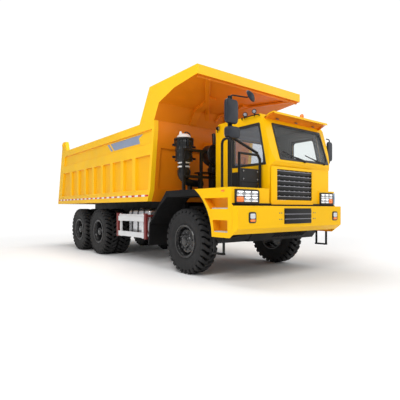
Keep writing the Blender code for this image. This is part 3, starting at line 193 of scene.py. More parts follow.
def block(low, high, edge=0.006, steps=3):
    # a box whose rim and corners are rounded: the plan is an outline with arcs, and both faces turn in
    low, high = np.minimum(low, high), np.maximum(low, high)
    size = high - low
    edge = min(edge, size.min() * 0.45)
    corners = [(low[0], low[1]), (high[0], low[1]), (high[0], high[1]), (low[0], high[1])]
    points, faces = pillow(roundedOutline(corners, edge * 1.4, 3), size[2], edge, steps=steps)
    return points + np.array([0, 0, low[2]]), faces


def smoothPath(points, steps=8):
    # a Catmull-Rom curve through the points
    p = np.array(points, float)
    p = np.vstack([2 * p[0] - p[1], p, 2 * p[-1] - p[-2]])
    t = np.linspace(0, 1, steps, endpoint=False)[:, None]
    runs = []
    for a, b, c, d in zip(p[:-3], p[1:-2], p[2:-1], p[3:]):
        runs.append(0.5 * (2 * b + (c - a) * t + (2 * a - 5 * b + 4 * c - d) * t ** 2
                           + (3 * b - a - 3 * c + d) * t ** 3))
    return np.vstack(runs + [p[-2][None]])


def bentPath(points, radius, steps=5):
    # straight runs whose corners are arcs of about that radius
    p = np.array(points, float)
    runs = [p[:1]]
    for before, corner, after in zip(p[:-2], p[1:-1], p[2:]):
        a, b = before - corner, after - corner
        reach = min(radius, np.linalg.norm(a) * 0.45, np.linalg.norm(b) * 0.45)
        start, end = corner + a / np.linalg.norm(a) * reach, corner + b / np.linalg.norm(b) * reach
        t = np.linspace(0, 1, steps + 1)[:, None]
        runs.append((1 - t) ** 2 * start + 2 * t * (1 - t) * corner + t ** 2 * end)
    return np.vstack(runs + [p[-1:]])


def swept(path, profile, closed=False, up=(0, 0, 1)):
    # carries a closed profile of (side, rise) pairs along a path; side lies across the path and level
    # with up
    path, profile = np.array(path, float), np.array(profile, float)
    if closed:
        ahead = np.roll(path, -1, 0) - np.roll(path, 1, 0)
    else:
        ahead = np.gradient(path, axis=0)
    ahead /= np.linalg.norm(ahead, axis=1)[:, None]
    up = np.array(up, float)
    flat = np.abs(ahead @ up) > 0.98
    side = np.cross(ahead, up)
    spare = np.cross(ahead, (0.0, 1.0, 0.2) if abs(up[1]) < 0.5 else (1.0, 0.0, 0.2))
    side = np.where(flat[:, None], spare, side)
    for k in range(1, len(side)):  # keeps the frame from flipping along the path
        side[k] = side[k] if side[k] @ side[k - 1] >= 0 else -side[k]
    side /= np.linalg.norm(side, axis=1)[:, None]
    rise = np.cross(side, ahead)
    points = path[:, None] + side[:, None] * profile[None, :, :1] + rise[:, None] * profile[None, :, 1:]
    return gridShape(points, closeRows=closed, closeColumns=True, capRows=not closed)


def tube(path, radius, steps=12, up=(0, 0, 1)):
    # a circle carried along the path
    t = np.linspace(0, 2 * math.pi, steps, endpoint=False)
    return swept(path, np.stack([np.cos(t), np.sin(t)], -1) * radius, up=up)


def hexBolt(radius, height, axis="x"):
    # a six-sided head with a small chamfer on a washer
    profile = [(0, 0), (0, radius * 1.3), (height * 0.2, radius * 1.3), (height * 0.2, radius),
               (height * 0.85, radius), (height, radius * 0.8), (height, 0)]
    return lathe(profile, 6, axis)


def addPiece(name, shape, materials, body, smooth=40, picks=None, tidy=True):
    # puts the shape in a mesh at the origin, merges its poles, turns its faces out, and rides it on its body
    points, faces = shape
    mesh = bpy.data.meshes.new(name)
    mesh.from_pydata(points.tolist(), [], faces)
    materials = materials if isinstance(materials, list) else [materials]
    for material in materials:
        mesh.materials.append(material)
    if picks is not None:
        mesh.polygons.foreach_set("material_index", np.asarray(picks, np.int32))
    if tidy:
        work = bmesh.new()
        work.from_mesh(mesh)
        bmesh.ops.remove_doubles(work, verts=work.verts, dist=2e-5)
        bmesh.ops.recalc_face_normals(work, faces=work.faces)
        work.to_mesh(mesh)
        work.free()
    mesh.shade_smooth()
    mesh.set_sharp_from_angle(angle=math.radians(smooth))
    piece = bpy.data.objects.new(name, mesh)
    scene.collection.objects.link(piece)
    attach(piece, body)
    return piece


def finished(node, name, materials, edge=0.006, chooser=None, segments=2):
    # a merged copy of a CAD node with its flat faces whole and its edges rounded, which stands for that node
    source = frame["nodes"][node]
    mesh = source.data.copy()
    mesh.name = name
    work = bmesh.new()
    work.from_mesh(mesh)
    bmesh.ops.remove_doubles(work, verts=work.verts, dist=5e-5)
    bmesh.ops.dissolve_limit(work, angle_limit=math.radians(1.2), verts=work.verts, edges=work.edges,
                             use_dissolve_boundaries=False)
    work.to_mesh(mesh)
    work.free()
    for attribute in [a.name for a in mesh.attributes if a.name == "custom_normal"]:
        mesh.attributes.remove(mesh.attributes[attribute])
    mesh.materials.clear()
    materials = materials if isinstance(materials, list) else [materials]
    for material in materials:
        mesh.materials.append(material)
    count = len(mesh.polygons)
    picks = np.zeros(count, np.int32)
    if chooser:
        centres, normals = np.empty(count * 3), np.empty(count * 3)
        mesh.polygons.foreach_get("center", centres)
        mesh.polygons.foreach_get("normal", normals)
        picks = chooser(centres.reshape(-1, 3), normals.reshape(-1, 3)).astype(np.int32)
    mesh.polygons.foreach_set("material_index", picks)
    mesh.shade_smooth()
    mesh.set_sharp_from_angle(angle=math.radians(32))
    piece = bpy.data.objects.new(name, mesh)
    scene.collection.objects.link(piece)
    if edge:
        bevel = piece.modifiers.new("edges", "BEVEL")
        bevel.width = edge
        bevel.segments = segments
        bevel.limit_method = "ANGLE"
        bevel.angle_limit = math.radians(28)
        bevel.harden_normals = True
        bevel.use_clamp_overlap = True
    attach(piece, source["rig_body"])
    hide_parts(node)
    return piece


def newMaterial(name, colour, roughness=0.5, metallic=0.0, coat=0.0, specular=0.5):
    # a Principled shader with its fixed values on its own sockets
    material = bpy.data.materials.new(name)
    material.use_nodes = True
    material.diffuse_color = (*colour, 1)
    shader = material.node_tree.nodes["Principled BSDF"]
    shader.inputs["Base Color"].default_value = (*colour, 1)
    shader.inputs["Roughness"].default_value = roughness
    shader.inputs["Metallic"].default_value = metallic
    shader.inputs["Coat Weight"].default_value = coat
    shader.inputs["Coat Roughness"].default_value = 0.12
    shader.inputs["Specular IOR Level"].default_value = specular
    return material, material.node_tree, shader


def noiseNode(tree, scale, detail=4.0, stretch=(1, 1, 1)):
    # noise on Object coordinates, stretched along an axis by its Mapping
    coordinates = tree.nodes.new("ShaderNodeTexCoord")
    mapping = tree.nodes.new("ShaderNodeMapping")
    mapping.inputs["Scale"].default_value = stretch
    noise = tree.nodes.new("ShaderNodeTexNoise")
    noise.inputs["Scale"].default_value = scale
    noise.inputs["Detail"].default_value = detail
    noise.inputs["Roughness"].default_value = 0.55
    tree.links.new(coordinates.outputs["Object"], mapping.inputs["Vector"])
    tree.links.new(mapping.outputs["Vector"], noise.inputs["Vector"])
    return noise.outputs["Fac"]


def ramp(tree, factor, stops):
    # colour stops of (position, colour)
    node = tree.nodes.new("ShaderNodeValToRGB")
    elements = node.color_ramp.elements
    elements[0].position, elements[0].color = stops[0][0], (*stops[0][1], 1)
    elements[1].position, elements[1].color = stops[-1][0], (*stops[-1][1], 1)
    for position, colour in stops[1:-1]:
        elements.new(position).color = (*colour, 1)
    tree.links.new(factor, node.inputs["Fac"])
    return node.outputs["Color"]


def levels(tree, factor, low, high, fromLow=0.3, fromHigh=0.7):
    # maps the factor's middle range to low..high
    node = tree.nodes.new("ShaderNodeMapRange")
    node.inputs["From Min"].default_value = fromLow
    node.inputs["From Max"].default_value = fromHigh
    node.inputs["To Min"].default_value = low
    node.inputs["To Max"].default_value = high
    tree.links.new(factor, node.inputs["Value"])
    return node.outputs["Result"]


def bump(tree, shader, height, strength, distance):
    node = tree.nodes.new("ShaderNodeBump")
    node.inputs["Strength"].default_value = strength
    node.inputs["Distance"].default_value = distance
    tree.links.new(height, node.inputs["Height"])
    tree.links.new(node.outputs["Normal"], shader.inputs["Normal"])


def mathNode(tree, operation, first, second):
    # one arithmetic node; each operand is another node's output or a plain number
    node = tree.nodes.new("ShaderNodeMath")
    node.operation = operation
    for socket, operand in zip(node.inputs, (first, second)):
        if isinstance(operand, float):
            socket.default_value = operand
        else:
            tree.links.new(operand, socket)
    return node.outputs[0]


def tinted(colour, factor):
    return tuple(min(1.0, c * factor) for c in colour)


def finishOf(name, colour, roughness, metallic=0.0, coat=0.0, vary=0.12, grain=60.0, relief=0.15,
             depth=0.0006, blotch=1.6, specular=0.5, stretch=(1, 1, 1), dust=0.0):
    # one coating: slow blotches of a second tint, an uneven gloss, a fine grain, and dust low down
    material, tree, shader = newMaterial(name, colour, roughness, metallic, coat, specular)
    slow = noiseNode(tree, blotch, 5.0)
    colourOut = ramp(tree, slow, [
        (0.3, tinted(colour, 1 - vary)), (0.52, colour), (0.74, tinted(colour, 1 + vary))])
    if dust:
        height = tree.nodes.new("ShaderNodeSeparateXYZ")
        coordinates = tree.nodes.new("ShaderNodeTexCoord")
        tree.links.new(coordinates.outputs["Object"], height.inputs[0])
        low = levels(tree, height.outputs["Z"], dust, 0.0, 0.0, 1.3)
        speck = noiseNode(tree, 9.0, 6.0)
        mix = tree.nodes.new("ShaderNodeMixRGB")
        mix.inputs["Color2"].default_value = (0.30, 0.25, 0.19, 1)
        tree.links.new(mathNode(tree, "MULTIPLY", low, speck), mix.inputs["Fac"])
        tree.links.new(colourOut, mix.inputs["Color1"])
        colourOut = mix.outputs["Color"]
    tree.links.new(colourOut, shader.inputs["Base Color"])
    patch = noiseNode(tree, blotch * 4, 3.0)
    tree.links.new(levels(tree, patch, roughness * 0.82, min(1.0, roughness * 1.2)),
                   shader.inputs["Roughness"])
    fine = noiseNode(tree, grain, 2.0, stretch)
    bump(tree, shader, fine, relief, depth)
    return material


bodyYellow = finishOf("bodyYellow", (0.96, 0.535, 0.002), 0.38, coat=0.03, specular=0.12, vary=0.05,
                      grain=220, relief=0.06, depth=0.0004, blotch=0.9)
bedYellow = finishOf("bedYellow", (0.95, 0.540, 0.006), 0.42, coat=0.06, specular=0.25, vary=0.06,
                     grain=160, relief=0.08, depth=0.0005, blotch=0.8)
# painted shade: a deeper orange of the yellow paint, for the bed's front wall, the canopy's underside and
# ribs, and the visor's underside and ends
paintedShadeYellow = finishOf("paintedShadeYellow", (0.72, 0.200, 0.002), 0.52, coat=0.04, specular=0.2, vary=0.07,
                       grain=160, relief=0.08, depth=0.0005, blotch=0.8)
# painted shade: an orange for the foothold walls, faces under the bed's rails, the rib sides in its pockets,
# and the door moulding
recessShadeYellow = finishOf("recessShadeYellow", (0.86, 0.33, 0.003), 0.46, coat=0.05, specular=0.25, vary=0.06,
                        grain=160, relief=0.08, blotch=0.9)
# painted shade: a slightly darker yellow for the floors of the bed's lower pockets
pocketShadeYellow = finishOf("pocketShadeYellow", (0.94, 0.47, 0.003), 0.42, coat=0.05, specular=0.2, vary=0.06,
                        grain=160, relief=0.08, depth=0.0005, blotch=0.8)
chassisBlack = finishOf("chassisBlack", (0.0055, 0.0055, 0.006), 0.45, specular=0.14, vary=0.25, grain=90,
                        relief=0.12, depth=0.0005, dust=0.025)
gearGrey = finishOf("gearGrey", (0.055, 0.058, 0.063), 0.50, metallic=0.3, vary=0.2, grain=70, relief=0.35,
                    depth=0.001, dust=0.10)
castIron = finishOf("castIron", (0.05, 0.05, 0.052), 0.6, metallic=0.4, vary=0.25, grain=60, relief=0.5,
                    depth=0.0012, dust=0.06)
rodChrome = finishOf("rodChrome", (0.72, 0.73, 0.75), 0.12, metallic=1.0, vary=0.03, grain=260, relief=0.03,
                     depth=0.0002, stretch=(1, 1, 0.05))
tankAluminium = finishOf("tankAluminium", (0.66, 0.67, 0.69), 0.30, metallic=0.9, vary=0.06, grain=180,
                         relief=0.10, depth=0.0003, stretch=(1, 0.04, 1))
plateAluminium = finishOf("plateAluminium", (0.62, 0.61, 0.57), 0.38, metallic=0.7, vary=0.10, grain=140,
                          relief=0.2, depth=0.0004)
guardWhite = finishOf("guardWhite", (0.70, 0.71, 0.72), 0.42, coat=0.1, vary=0.06, grain=120, relief=0.1,
                      dust=0.06)
postRed = finishOf("postRed", (0.20, 0.022, 0.020), 0.45, coat=0.1, vary=0.15, grain=120, relief=0.1,
                   dust=0.06)
guardPlastic = finishOf("guardPlastic", (0.0055, 0.0055, 0.006), 0.50, specular=0.14, vary=0.25,
                        grain=240, relief=0.4, depth=0.0008, dust=0.02)
mirrorGrey = finishOf("mirrorGrey", (0.017, 0.020, 0.028), 0.40, specular=0.3, vary=0.10, grain=320,
                      relief=0.25, depth=0.0004)
railBlack = finishOf("railBlack", (0.0055, 0.0055, 0.006), 0.38, specular=0.25, vary=0.2, grain=200,
                     relief=0.15)
filterBlack = finishOf("filterBlack", (0.0075, 0.008, 0.009), 0.34, specular=0.35, vary=0.2, grain=260,
                       relief=0.25, depth=0.0004)
capWhite = finishOf("capWhite", (0.80, 0.79, 0.77), 0.45, vary=0.05, grain=180, relief=0.1)
wheelBlack = finishOf("wheelBlack", (0.009, 0.009, 0.010), 0.28, coat=0.3, specular=0.5, vary=0.25,
                      grain=90, relief=0.15, dust=0.02)
tyreRubber = finishOf("tyreRubber", (0.019, 0.019, 0.020), 0.62, specular=0.22, vary=0.22, grain=420,
                      relief=0.35, depth=0.0006, blotch=3.0, dust=0.03)
# painted shade: a near-black rubber for the tread base between the lugs
grooveShadeRubber = finishOf("grooveShadeRubber", (0.0035, 0.0035, 0.0038), 0.80, specular=0.06, vary=0.2, grain=300,
                        relief=0.3)
gasketRubber = finishOf("gasketRubber", (0.012, 0.012, 0.013), 0.55, vary=0.15, grain=400, relief=0.2)
hoseRubber = finishOf("hoseRubber", (0.016, 0.016, 0.017), 0.5, vary=0.2, grain=300, relief=0.2)
trimGrey = finishOf("trimGrey", (0.21, 0.22, 0.22), 0.62, vary=0.08, grain=380, relief=0.4, depth=0.0006)
dashBlack = finishOf("dashBlack", (0.055, 0.057, 0.062), 0.58, vary=0.12, grain=420, relief=0.5,
                     depth=0.0007)
slatGrey = finishOf("slatGrey", (0.30, 0.30, 0.33), 0.40, metallic=0.3, vary=0.10, grain=160, relief=0.1)
stripeBlue = finishOf("stripeBlue", (0.25, 0.31, 0.44), 0.38, coat=0.2, vary=0.05, grain=160, relief=0.05)
tapeRed = finishOf("tapeRed", (0.60, 0.012, 0.010), 0.28, coat=0.4, vary=0.08, grain=900, relief=0.3)
tapeWhite = finishOf("tapeWhite", (0.82, 0.82, 0.80), 0.28, coat=0.4, vary=0.05, grain=900, relief=0.3)
boltSteel = finishOf("boltSteel", (0.30, 0.30, 0.31), 0.35, metallic=0.9, vary=0.15, grain=200, relief=0.2)
boltDark = finishOf("boltDark", (0.16, 0.16, 0.165), 0.34, metallic=0.8, vary=0.2, grain=200, relief=0.2)
lampChrome = finishOf("lampChrome", (0.86, 0.87, 0.89), 0.10, metallic=1.0, vary=0.04, grain=120,
                      relief=0.05)
mirrorGlass = finishOf("mirrorGlass", (0.80, 0.82, 0.84), 0.04, metallic=1.0, vary=0.01, grain=50,
                       relief=0.0)


def lensMaterial(name, colour, roughness, glow):
    # moulded plastic with fine ribs; a little glow stands for light caught inside the lens
    material, tree, shader = newMaterial(name, colour, roughness, coat=0.6)
    shader.inputs["IOR"].default_value = 1.49
    shader.inputs["Emission Color"].default_value = (*colour, 1)
    shader.inputs["Emission Strength"].default_value = glow
    bump(tree, shader, noiseNode(tree, 130, 1.0, (1, 1, 0.15)), 0.3, 0.001)
    return material


lensAmber = lensMaterial("lensAmber", (0.90, 0.20, 0.01), 0.20, 0.18)
lensClear = lensMaterial("lensClear", (0.62, 0.64, 0.66), 0.14, 0.05)
lensBlue = lensMaterial("lensBlue", (0.34, 0.46, 0.62), 0.10, 0.06)


def glassMaterial(name, tint, share):
    # a tinted film that lets light straight through, with a mirror's share that grows at grazing angles
    material, tree, shader = newMaterial(name, tint, 0.05)
    clear = tree.nodes.new("ShaderNodeBsdfTransparent")
    clear.inputs["Color"].default_value = (*tint, 1)
    shader.inputs["Base Color"].default_value = (*tinted(tint, 0.55), 1)
    shader.inputs["Specular IOR Level"].default_value = 0.8
    mix = tree.nodes.new("ShaderNodeMixShader")
    layer = tree.nodes.new("ShaderNodeLayerWeight")
    layer.inputs["Blend"].default_value = 0.5
    steep = mathNode(tree, "POWER", layer.outputs["Facing"], 4.0)  # almost nothing until seen edge-on
    total = mathNode(tree, "ADD", steep, share)
    total.node.use_clamp = True
    tree.links.new(total, mix.inputs["Fac"])
    tree.links.new(clear.outputs[0], mix.inputs[1])
    tree.links.new(shader.outputs[0], mix.inputs[2])
    tree.links.new(mix.outputs[0], tree.nodes["Material Output"].inputs["Surface"])
    return material


windowGlass = glassMaterial("windowGlass", (0.955, 0.972, 0.970), 0.015)
sideGlass = glassMaterial("sideGlass", (0.84, 0.86, 0.90), 0.16)


def seatCloth():
    # a weave from two crossed wave bands on Object coordinates, over dark grey yarn
    material, tree, shader = newMaterial("seatCloth", (0.05, 0.052, 0.06), 0.85)
    coordinates = tree.nodes.new("ShaderNodeTexCoord")
    bands = []
    for direction in ("X", "Z"):
        wave = tree.nodes.new("ShaderNodeTexWave")
        wave.bands_direction = direction
        wave.inputs["Scale"].default_value = 90
        wave.inputs["Distortion"].default_value = 0.6
        tree.links.new(coordinates.outputs["Object"], wave.inputs["Vector"])
        bands.append(wave.outputs["Fac"])
    weave = mathNode(tree, "MULTIPLY", *bands)
    yarn = ramp(tree, weave, [(0.1, (0.030, 0.031, 0.036)), (0.8, (0.085, 0.088, 0.1))])
    tree.links.new(yarn, shader.inputs["Base Color"])
    shader.inputs["Sheen Weight"].default_value = 0.3
    bump(tree, shader, weave, 0.5, 0.0012)
    return material


seatFabric = seatCloth()
floorPale = finishOf("floorPale", (0.93, 0.93, 0.93), 0.9, vary=0.01, grain=30, relief=0.02, specular=0.1)
floorShader = floorPale.node_tree.nodes["Principled BSDF"]
floorShader.inputs["Emission Color"].default_value = (1, 1, 1, 1)
floorTree = floorPale.node_tree
floorPlace = floorTree.nodes.new("ShaderNodeTexCoord")
floorReach = floorTree.nodes.new("ShaderNodeVectorMath")
floorReach.operation = "LENGTH"
floorTree.links.new(floorPlace.outputs["Object"], floorReach.inputs[0])
# the lamps reach only the middle of the floor, so the rest is lifted to the same white
floorTree.links.new(levels(floorTree, floorReach.outputs["Value"], 0.0, 0.60, 5.0, 16.0),
                    floorShader.inputs["Emission Strength"])
print("materials ready")


def setStage():
    view = {"place": (-6.111, -9.428, 1.355), "turn": -38.29, "lens": 33.72, "shift": 0.0222,
            "worldLight": 0.45}
    camera = bpy.data.cameras.new("camera")
    camera.sensor_width = 36
    camera.lens = view["lens"]
    camera.shift_y = view["shift"]
    holder = bpy.data.objects.new("camera", camera)
    scene.collection.objects.link(holder)
    holder.location = view["place"]
    holder.rotation_euler = (math.pi / 2, 0, math.radians(view["turn"]))
    scene.camera = holder

    world = bpy.data.worlds.new("studio")
    scene.world = world
    world.use_nodes = True
    background = world.node_tree.nodes["Background"]
    background.inputs["Color"].default_value = (1.0, 1.0, 1.0, 1)
    paths = world.node_tree.nodes.new("ShaderNodeLightPath")
    strength = world.node_tree.nodes.new("ShaderNodeMapRange")  # white to the eye, softer as a light
    strength.inputs["To Min"].default_value = view["worldLight"]
    strength.inputs["To Max"].default_value = 1.05
    world.node_tree.links.new(paths.outputs["Is Camera Ray"], strength.inputs["Value"])
    world.node_tree.links.new(strength.outputs["Result"], background.inputs["Strength"])
    scene.view_settings.view_transform = "Standard"

    lamps = {
        "keyLight": {"place": (-9.0, -8.5, 9.5), "size": 6.0, "power": 760},
        "fillLight": {"place": (7.5, -10.0, 6.5), "size": 8.0, "power": 330},
        "topLight": {"place": (-1.0, 1.0, 12.0), "size": 7.0, "power": 900},
    }
    for name, lamp in lamps.items():
        light = bpy.data.lights.new(name, "AREA")
        light.size = lamp["size"]
        light.energy = lamp["power"]
        holder = bpy.data.objects.new(name, light)
        scene.collection.objects.link(holder)
        holder.location = lamp["place"]
        holder.rotation_euler = (Vector((0, 0, 1.5)) - holder.location).to_track_quat("-Z", "Y").to_euler()

    size = 90.0
    mesh = bpy.data.meshes.new("floor")
    mesh.from_pydata([(-size, -size, 0), (size, -size, 0), (size, size, 0), (-size, size, 0)], [],
                     [(0, 1, 2, 3)])
    mesh.materials.append(floorPale)
    floor = bpy.data.objects.new("floor", mesh)
    scene.collection.objects.link(floor)
    floor.location.z = -0.001


setStage()
print("stage ready")


def inside(node, inset):
    # picks 1 for faces that lie inside the node's box by the inset and look inwards, as a cab's lining does
    low, high = boxOf(node)
    middle = (low + high) / 2

    def chooser(centres, normals):
        deep = ((centres > low + inset) & (centres < high - inset)).all(1)
        inward = ((middle - centres) * normals).sum(1) > 0
        return deep & inward
    return chooser


def finishPanels():
    finished("cab_shell", "cabShell", [bodyYellow, trimGrey], 0.010,
             chooser=inside("cab_shell", np.array([0.03, 0.03, 0.03])), segments=3)
    finished("cab_door", "cabDoor", [bodyYellow, trimGrey], 0.008,
             chooser=lambda centres, normals: normals[:, 0] < -0.9)
    low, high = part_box("fender_right")

    def recessShading(centres, normals):
        # the footholds' walls, behind the outer face by up to the pocket's depth and below the deck, take an
        # orange as painted shade
        across = abs(low.x) - np.abs(centres[:, 0])
        return ((across > 0.01) & (across < 0.18) & (normals[:, 2] > -0.5)
                & (centres[:, 2] < high.z - 0.05) & (centres[:, 1] > low.y + 0.05))
    finished("fender_right", "fenderRight", [bodyYellow, recessShadeYellow], 0.009,
             chooser=recessShading)
    finished("fender_left", "fenderLeft", [bodyYellow, recessShadeYellow], 0.009, chooser=recessShading)
    finished("front_bumper", "frontBumper", bodyYellow, 0.012, segments=3)

    def pocketShading(centres, normals):
        # painted shade: the lower pockets' floors are 2, a darker yellow, and the faces that look down or
        # along the bed inside them are 1, an orange
        low = (centres[:, 2] > 1.75) & (centres[:, 2] < 2.95) & (np.abs(centres[:, 0]) < 1.615)
        outward = normals[:, 0] * np.sign(centres[:, 0])
        picks = np.where(low & (outward > 0.8), 2, 0)
        return np.where((normals[:, 2] < -0.8) | (low & (normals[:, 1] > 0.7)), 1, picks)
    for side in ("right", "left"):
        finished("bed_side_" + side, "bedSide" + side.capitalize(), [bedYellow, recessShadeYellow, pocketShadeYellow],
                 0.010, chooser=pocketShading)
        finished("mudguard_" + side, "mudguard" + side.capitalize(), guardPlastic, 0.006)
    # the whole front wall takes the orange of painted shade from the canopy
    finished("bed_front_wall", "bedFrontWall", paintedShadeYellow, 0.008)
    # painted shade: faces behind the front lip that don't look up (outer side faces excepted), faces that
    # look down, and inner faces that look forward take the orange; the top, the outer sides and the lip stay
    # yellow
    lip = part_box("bed_canopy")[0].y + 0.10
    finished("bed_canopy", "bedCanopy", [bedYellow, paintedShadeYellow], 0.008,
             chooser=lambda centres, normals: (normals[:, 2] < 0.1)
             & ((np.abs(normals[:, 0]) < 0.8) | (np.abs(centres[:, 0]) < 1.45))
             & ((centres[:, 1] > lip) | (normals[:, 2] < -0.6)) | (normals[:, 1] < -0.3)
             & (normals[:, 2] < 0.7) & (centres[:, 1] > lip) & (np.abs(centres[:, 0]) < 1.45))
    finished("bed_floor", "bedFloor", [bedYellow, chassisBlack], 0.008,
             chooser=lambda centres, normals: (normals[:, 2] < 0.5) & (np.abs(centres[:, 0]) < 1.38))
    plain = [
        ("tailgate", "tailgatePanel", bedYellow, "body_yellow", 0.010),
        ("chassis_frame", "chassisFrame", chassisBlack, "chassis_black", 0.005),
        ("equipment_frame", "equipmentFrame", railBlack, "chassis_black", 0.006),
        ("front_axle", "frontAxle", castIron, "drive_grey", 0.008),
        ("middle_axle", "middleAxle", castIron, "drive_grey", 0.008),
        ("rear_axle", "rearAxle", castIron, "drive_grey", 0.008),
        ("knuckle_left", "knuckleLeft", castIron, "drive_grey", 0.006),
        ("knuckle_right", "knuckleRight", castIron, "drive_grey", 0.006),
        ("rear_suspension", "rearSuspension", chassisBlack, "chassis_black", 0.004),
        ("engine_block", "engineBlock", castIron, "drive_grey", 0.010),
        ("drive_shaft", "driveShaft", gearGrey, "drive_grey", 0.004)]
    for node, name, material, slot, edge in plain:
        finished(node, name, material, edge)
    finished("dashboard", "dashboardShell", dashBlack, 0.025, segments=4)
    print("panels finished")


finishPanels()


tyre = {"lugs": 30, "lugDepth": 0.040, "lugWidth": 0.086, "slant": 0.135, "steps": 80}
rim = {"steps": 64, "nuts": 10, "nutCircle": 0.188, "nutSize": 0.017}


def carcassShape(radius, halfWidth, bore):
    # a closed cross-section turned about X: bead, bulging side wall with three rings, shoulder,
    # slightly crowned tread
    base = radius - tyre["lugDepth"]
    side = [(halfWidth * 0.72, bore + 0.004), (halfWidth * 0.82, bore + 0.022),
            (halfWidth * 0.88, bore + 0.055), (halfWidth * 0.945, bore + 0.100),
            (halfWidth * 0.985, bore + 0.150), (halfWidth * 0.985, bore + 0.205),
            (halfWidth * 0.955, bore + 0.255), (halfWidth * 0.90, base - 0.020),
            (halfWidth * 0.80, base - 0.004), (halfWidth * 0.40, base + 0.001), (0.0, base + 0.002)]
    curve = smoothPath(np.array(side), 5)
    raised = np.zeros(len(curve))
    for ring in (bore + 0.066, bore + 0.215, bore + 0.235):
        raised += 0.0045 * np.exp(-((curve[:, 1] - ring) / 0.006) ** 2)
    curve[:, 0] += raised
    other = curve[::-1][1:] * np.array([-1, 1])
    loop = np.vstack([curve, other, curve[:1]])
    return lathe(loop, tyre["steps"])


def lugShape(radius, halfWidth, side):
    # every lug at once: six stations from the side wall over the shoulder to past the middle, each with a
    # chamfered cross-section across the rolling direction, all of it turned to the lug's own angle
    stations = np.array([  # across, out, normal across, normal out, share of the slant, width
        [halfWidth * 0.965, radius - 0.112, 0.97, 0.25, 0.00, 0.70],
        [halfWidth * 0.995, radius - 0.060, 0.95, 0.31, 0.02, 1.00],
        [halfWidth * 0.93, radius - 0.016, 0.62, 0.78, 0.08, 1.00],
        [halfWidth * 0.74, radius - 0.001, 0.10, 0.99, 0.22, 0.95],
        [halfWidth * 0.36, radius, 0.00, 1.00, 0.78, 0.80],
        [-halfWidth * 0.10, radius, 0.00, 1.00, 1.00, 0.74]])
    across, out, normalX, normalR, slant, width = stations.T
    section = np.array([[-0.62, -1.25], [-0.50, -0.18], [-0.42, 0.0], [0.42, 0.0], [0.50, -0.18],
                        [0.62, -1.25]])
    sink = section[:, 1] * tyre["lugDepth"]
    x = side * (across[:, None] + normalX[:, None] * sink[None])
    r = out[:, None] + normalR[:, None] * sink[None]
    turn = (slant[:, None] * tyre["slant"]
            + section[None, :, 0] * width[:, None] * tyre["lugWidth"] / out[:, None])
    pitch = 2 * math.pi / tyre["lugs"]
    lugs = []
    for k in range(tyre["lugs"]):
        angle = turn + (k + (0.5 if side > 0 else 0.0)) * pitch
        lugs.append(gridShape(np.stack([x, -r * np.sin(angle), r * np.cos(angle)], -1),
                              closeColumns=True, capRows=True))
    return joined(lugs)


def rimShape(halfWidth, bore):
    # the barrel with a rolled flange and a lock ring at each side, as a closed section turned about X
    w = halfWidth
    section = [(w * 0.94, bore - 0.006), (w * 0.955, bore + 0.020), (w * 0.90, bore + 0.030),
               (w * 0.83, bore + 0.018), (w * 0.75, bore + 0.001), (-w * 0.75, bore + 0.001),
               (-w * 0.83, bore + 0.018), (-w * 0.90, bore + 0.030), (-w * 0.955, bore + 0.020),
               (-w * 0.94, bore - 0.006), (-w * 0.84, bore - 0.016), (-w * 0.80, bore - 0.028),
               (w * 0.62, bore - 0.030), (w * 0.70, bore - 0.020), (w * 0.80, bore - 0.022),
               (w * 0.84, bore - 0.010), (w * 0.94, bore - 0.006)]
    return lathe(section, rim["steps"])


def hubFront(reach):
    # the dish, its flat nut ring, the drum and the cap, one profile from rim to axis
    face = min(0.105, reach - 0.062)
    dish = lathe([(0.010, 0.289), (0.022, 0.289), (0.030, 0.262), (face, 0.238), (face + 0.004, 0.155),
                  (face + 0.012, 0.142), (reach - 0.040, 0.132), (reach - 0.030, 0.126),
                  (reach - 0.026, 0.092), (reach - 0.010, 0.086), (reach - 0.002, 0.072), (reach, 0.050),
                  (reach, 0.0)], rim["steps"])
    back = lathe([(0.010, 0.289), (0.012, 0.0)], rim["steps"])
    nuts = ringed(turned(hexBolt(rim["nutSize"], 0.034), centre=(face + 0.002, 0, 0)), rim["nuts"],
                  rim["nutCircle"], start=9)
    small = ringed(turned(hexBolt(0.0085, 0.012), centre=(reach - 0.029, 0, 0)), 12, 0.109)
    return [dish, back], [nuts, small]


def hubRear(reach, face):
    # a deep dish behind the outer rim with the long planet drum in its middle
    dish = lathe([(face - 0.035, 0.289), (face - 0.020, 0.289), (face - 0.010, 0.250), (face, 0.232),
                  (face + 0.002, 0.168), (face + 0.014, 0.160), (face + 0.115, 0.154),
                  (face + 0.128, 0.146), (face + 0.130, 0.118), (reach - 0.036, 0.112),
                  (reach - 0.024, 0.104), (reach - 0.020, 0.070), (reach - 0.004, 0.064), (reach, 0.050),
                  (reach, 0.0)], rim["steps"])
    back = lathe([(face - 0.035, 0.289), (face - 0.033, 0.0)], rim["steps"])
    nuts = ringed(turned(hexBolt(rim["nutSize"], 0.034), centre=(face, 0, 0)), rim["nuts"],
                  rim["nutCircle"] + 0.012)
    ring = ringed(turned(hexBolt(0.010, 0.012), centre=(face + 0.129, 0, 0)), 12, 0.132)
    cap = ringed(turned(hexBolt(0.008, 0.010), centre=(reach - 0.023, 0, 0)), 8, 0.087)
    return [dish, back], [nuts, ring, cap]


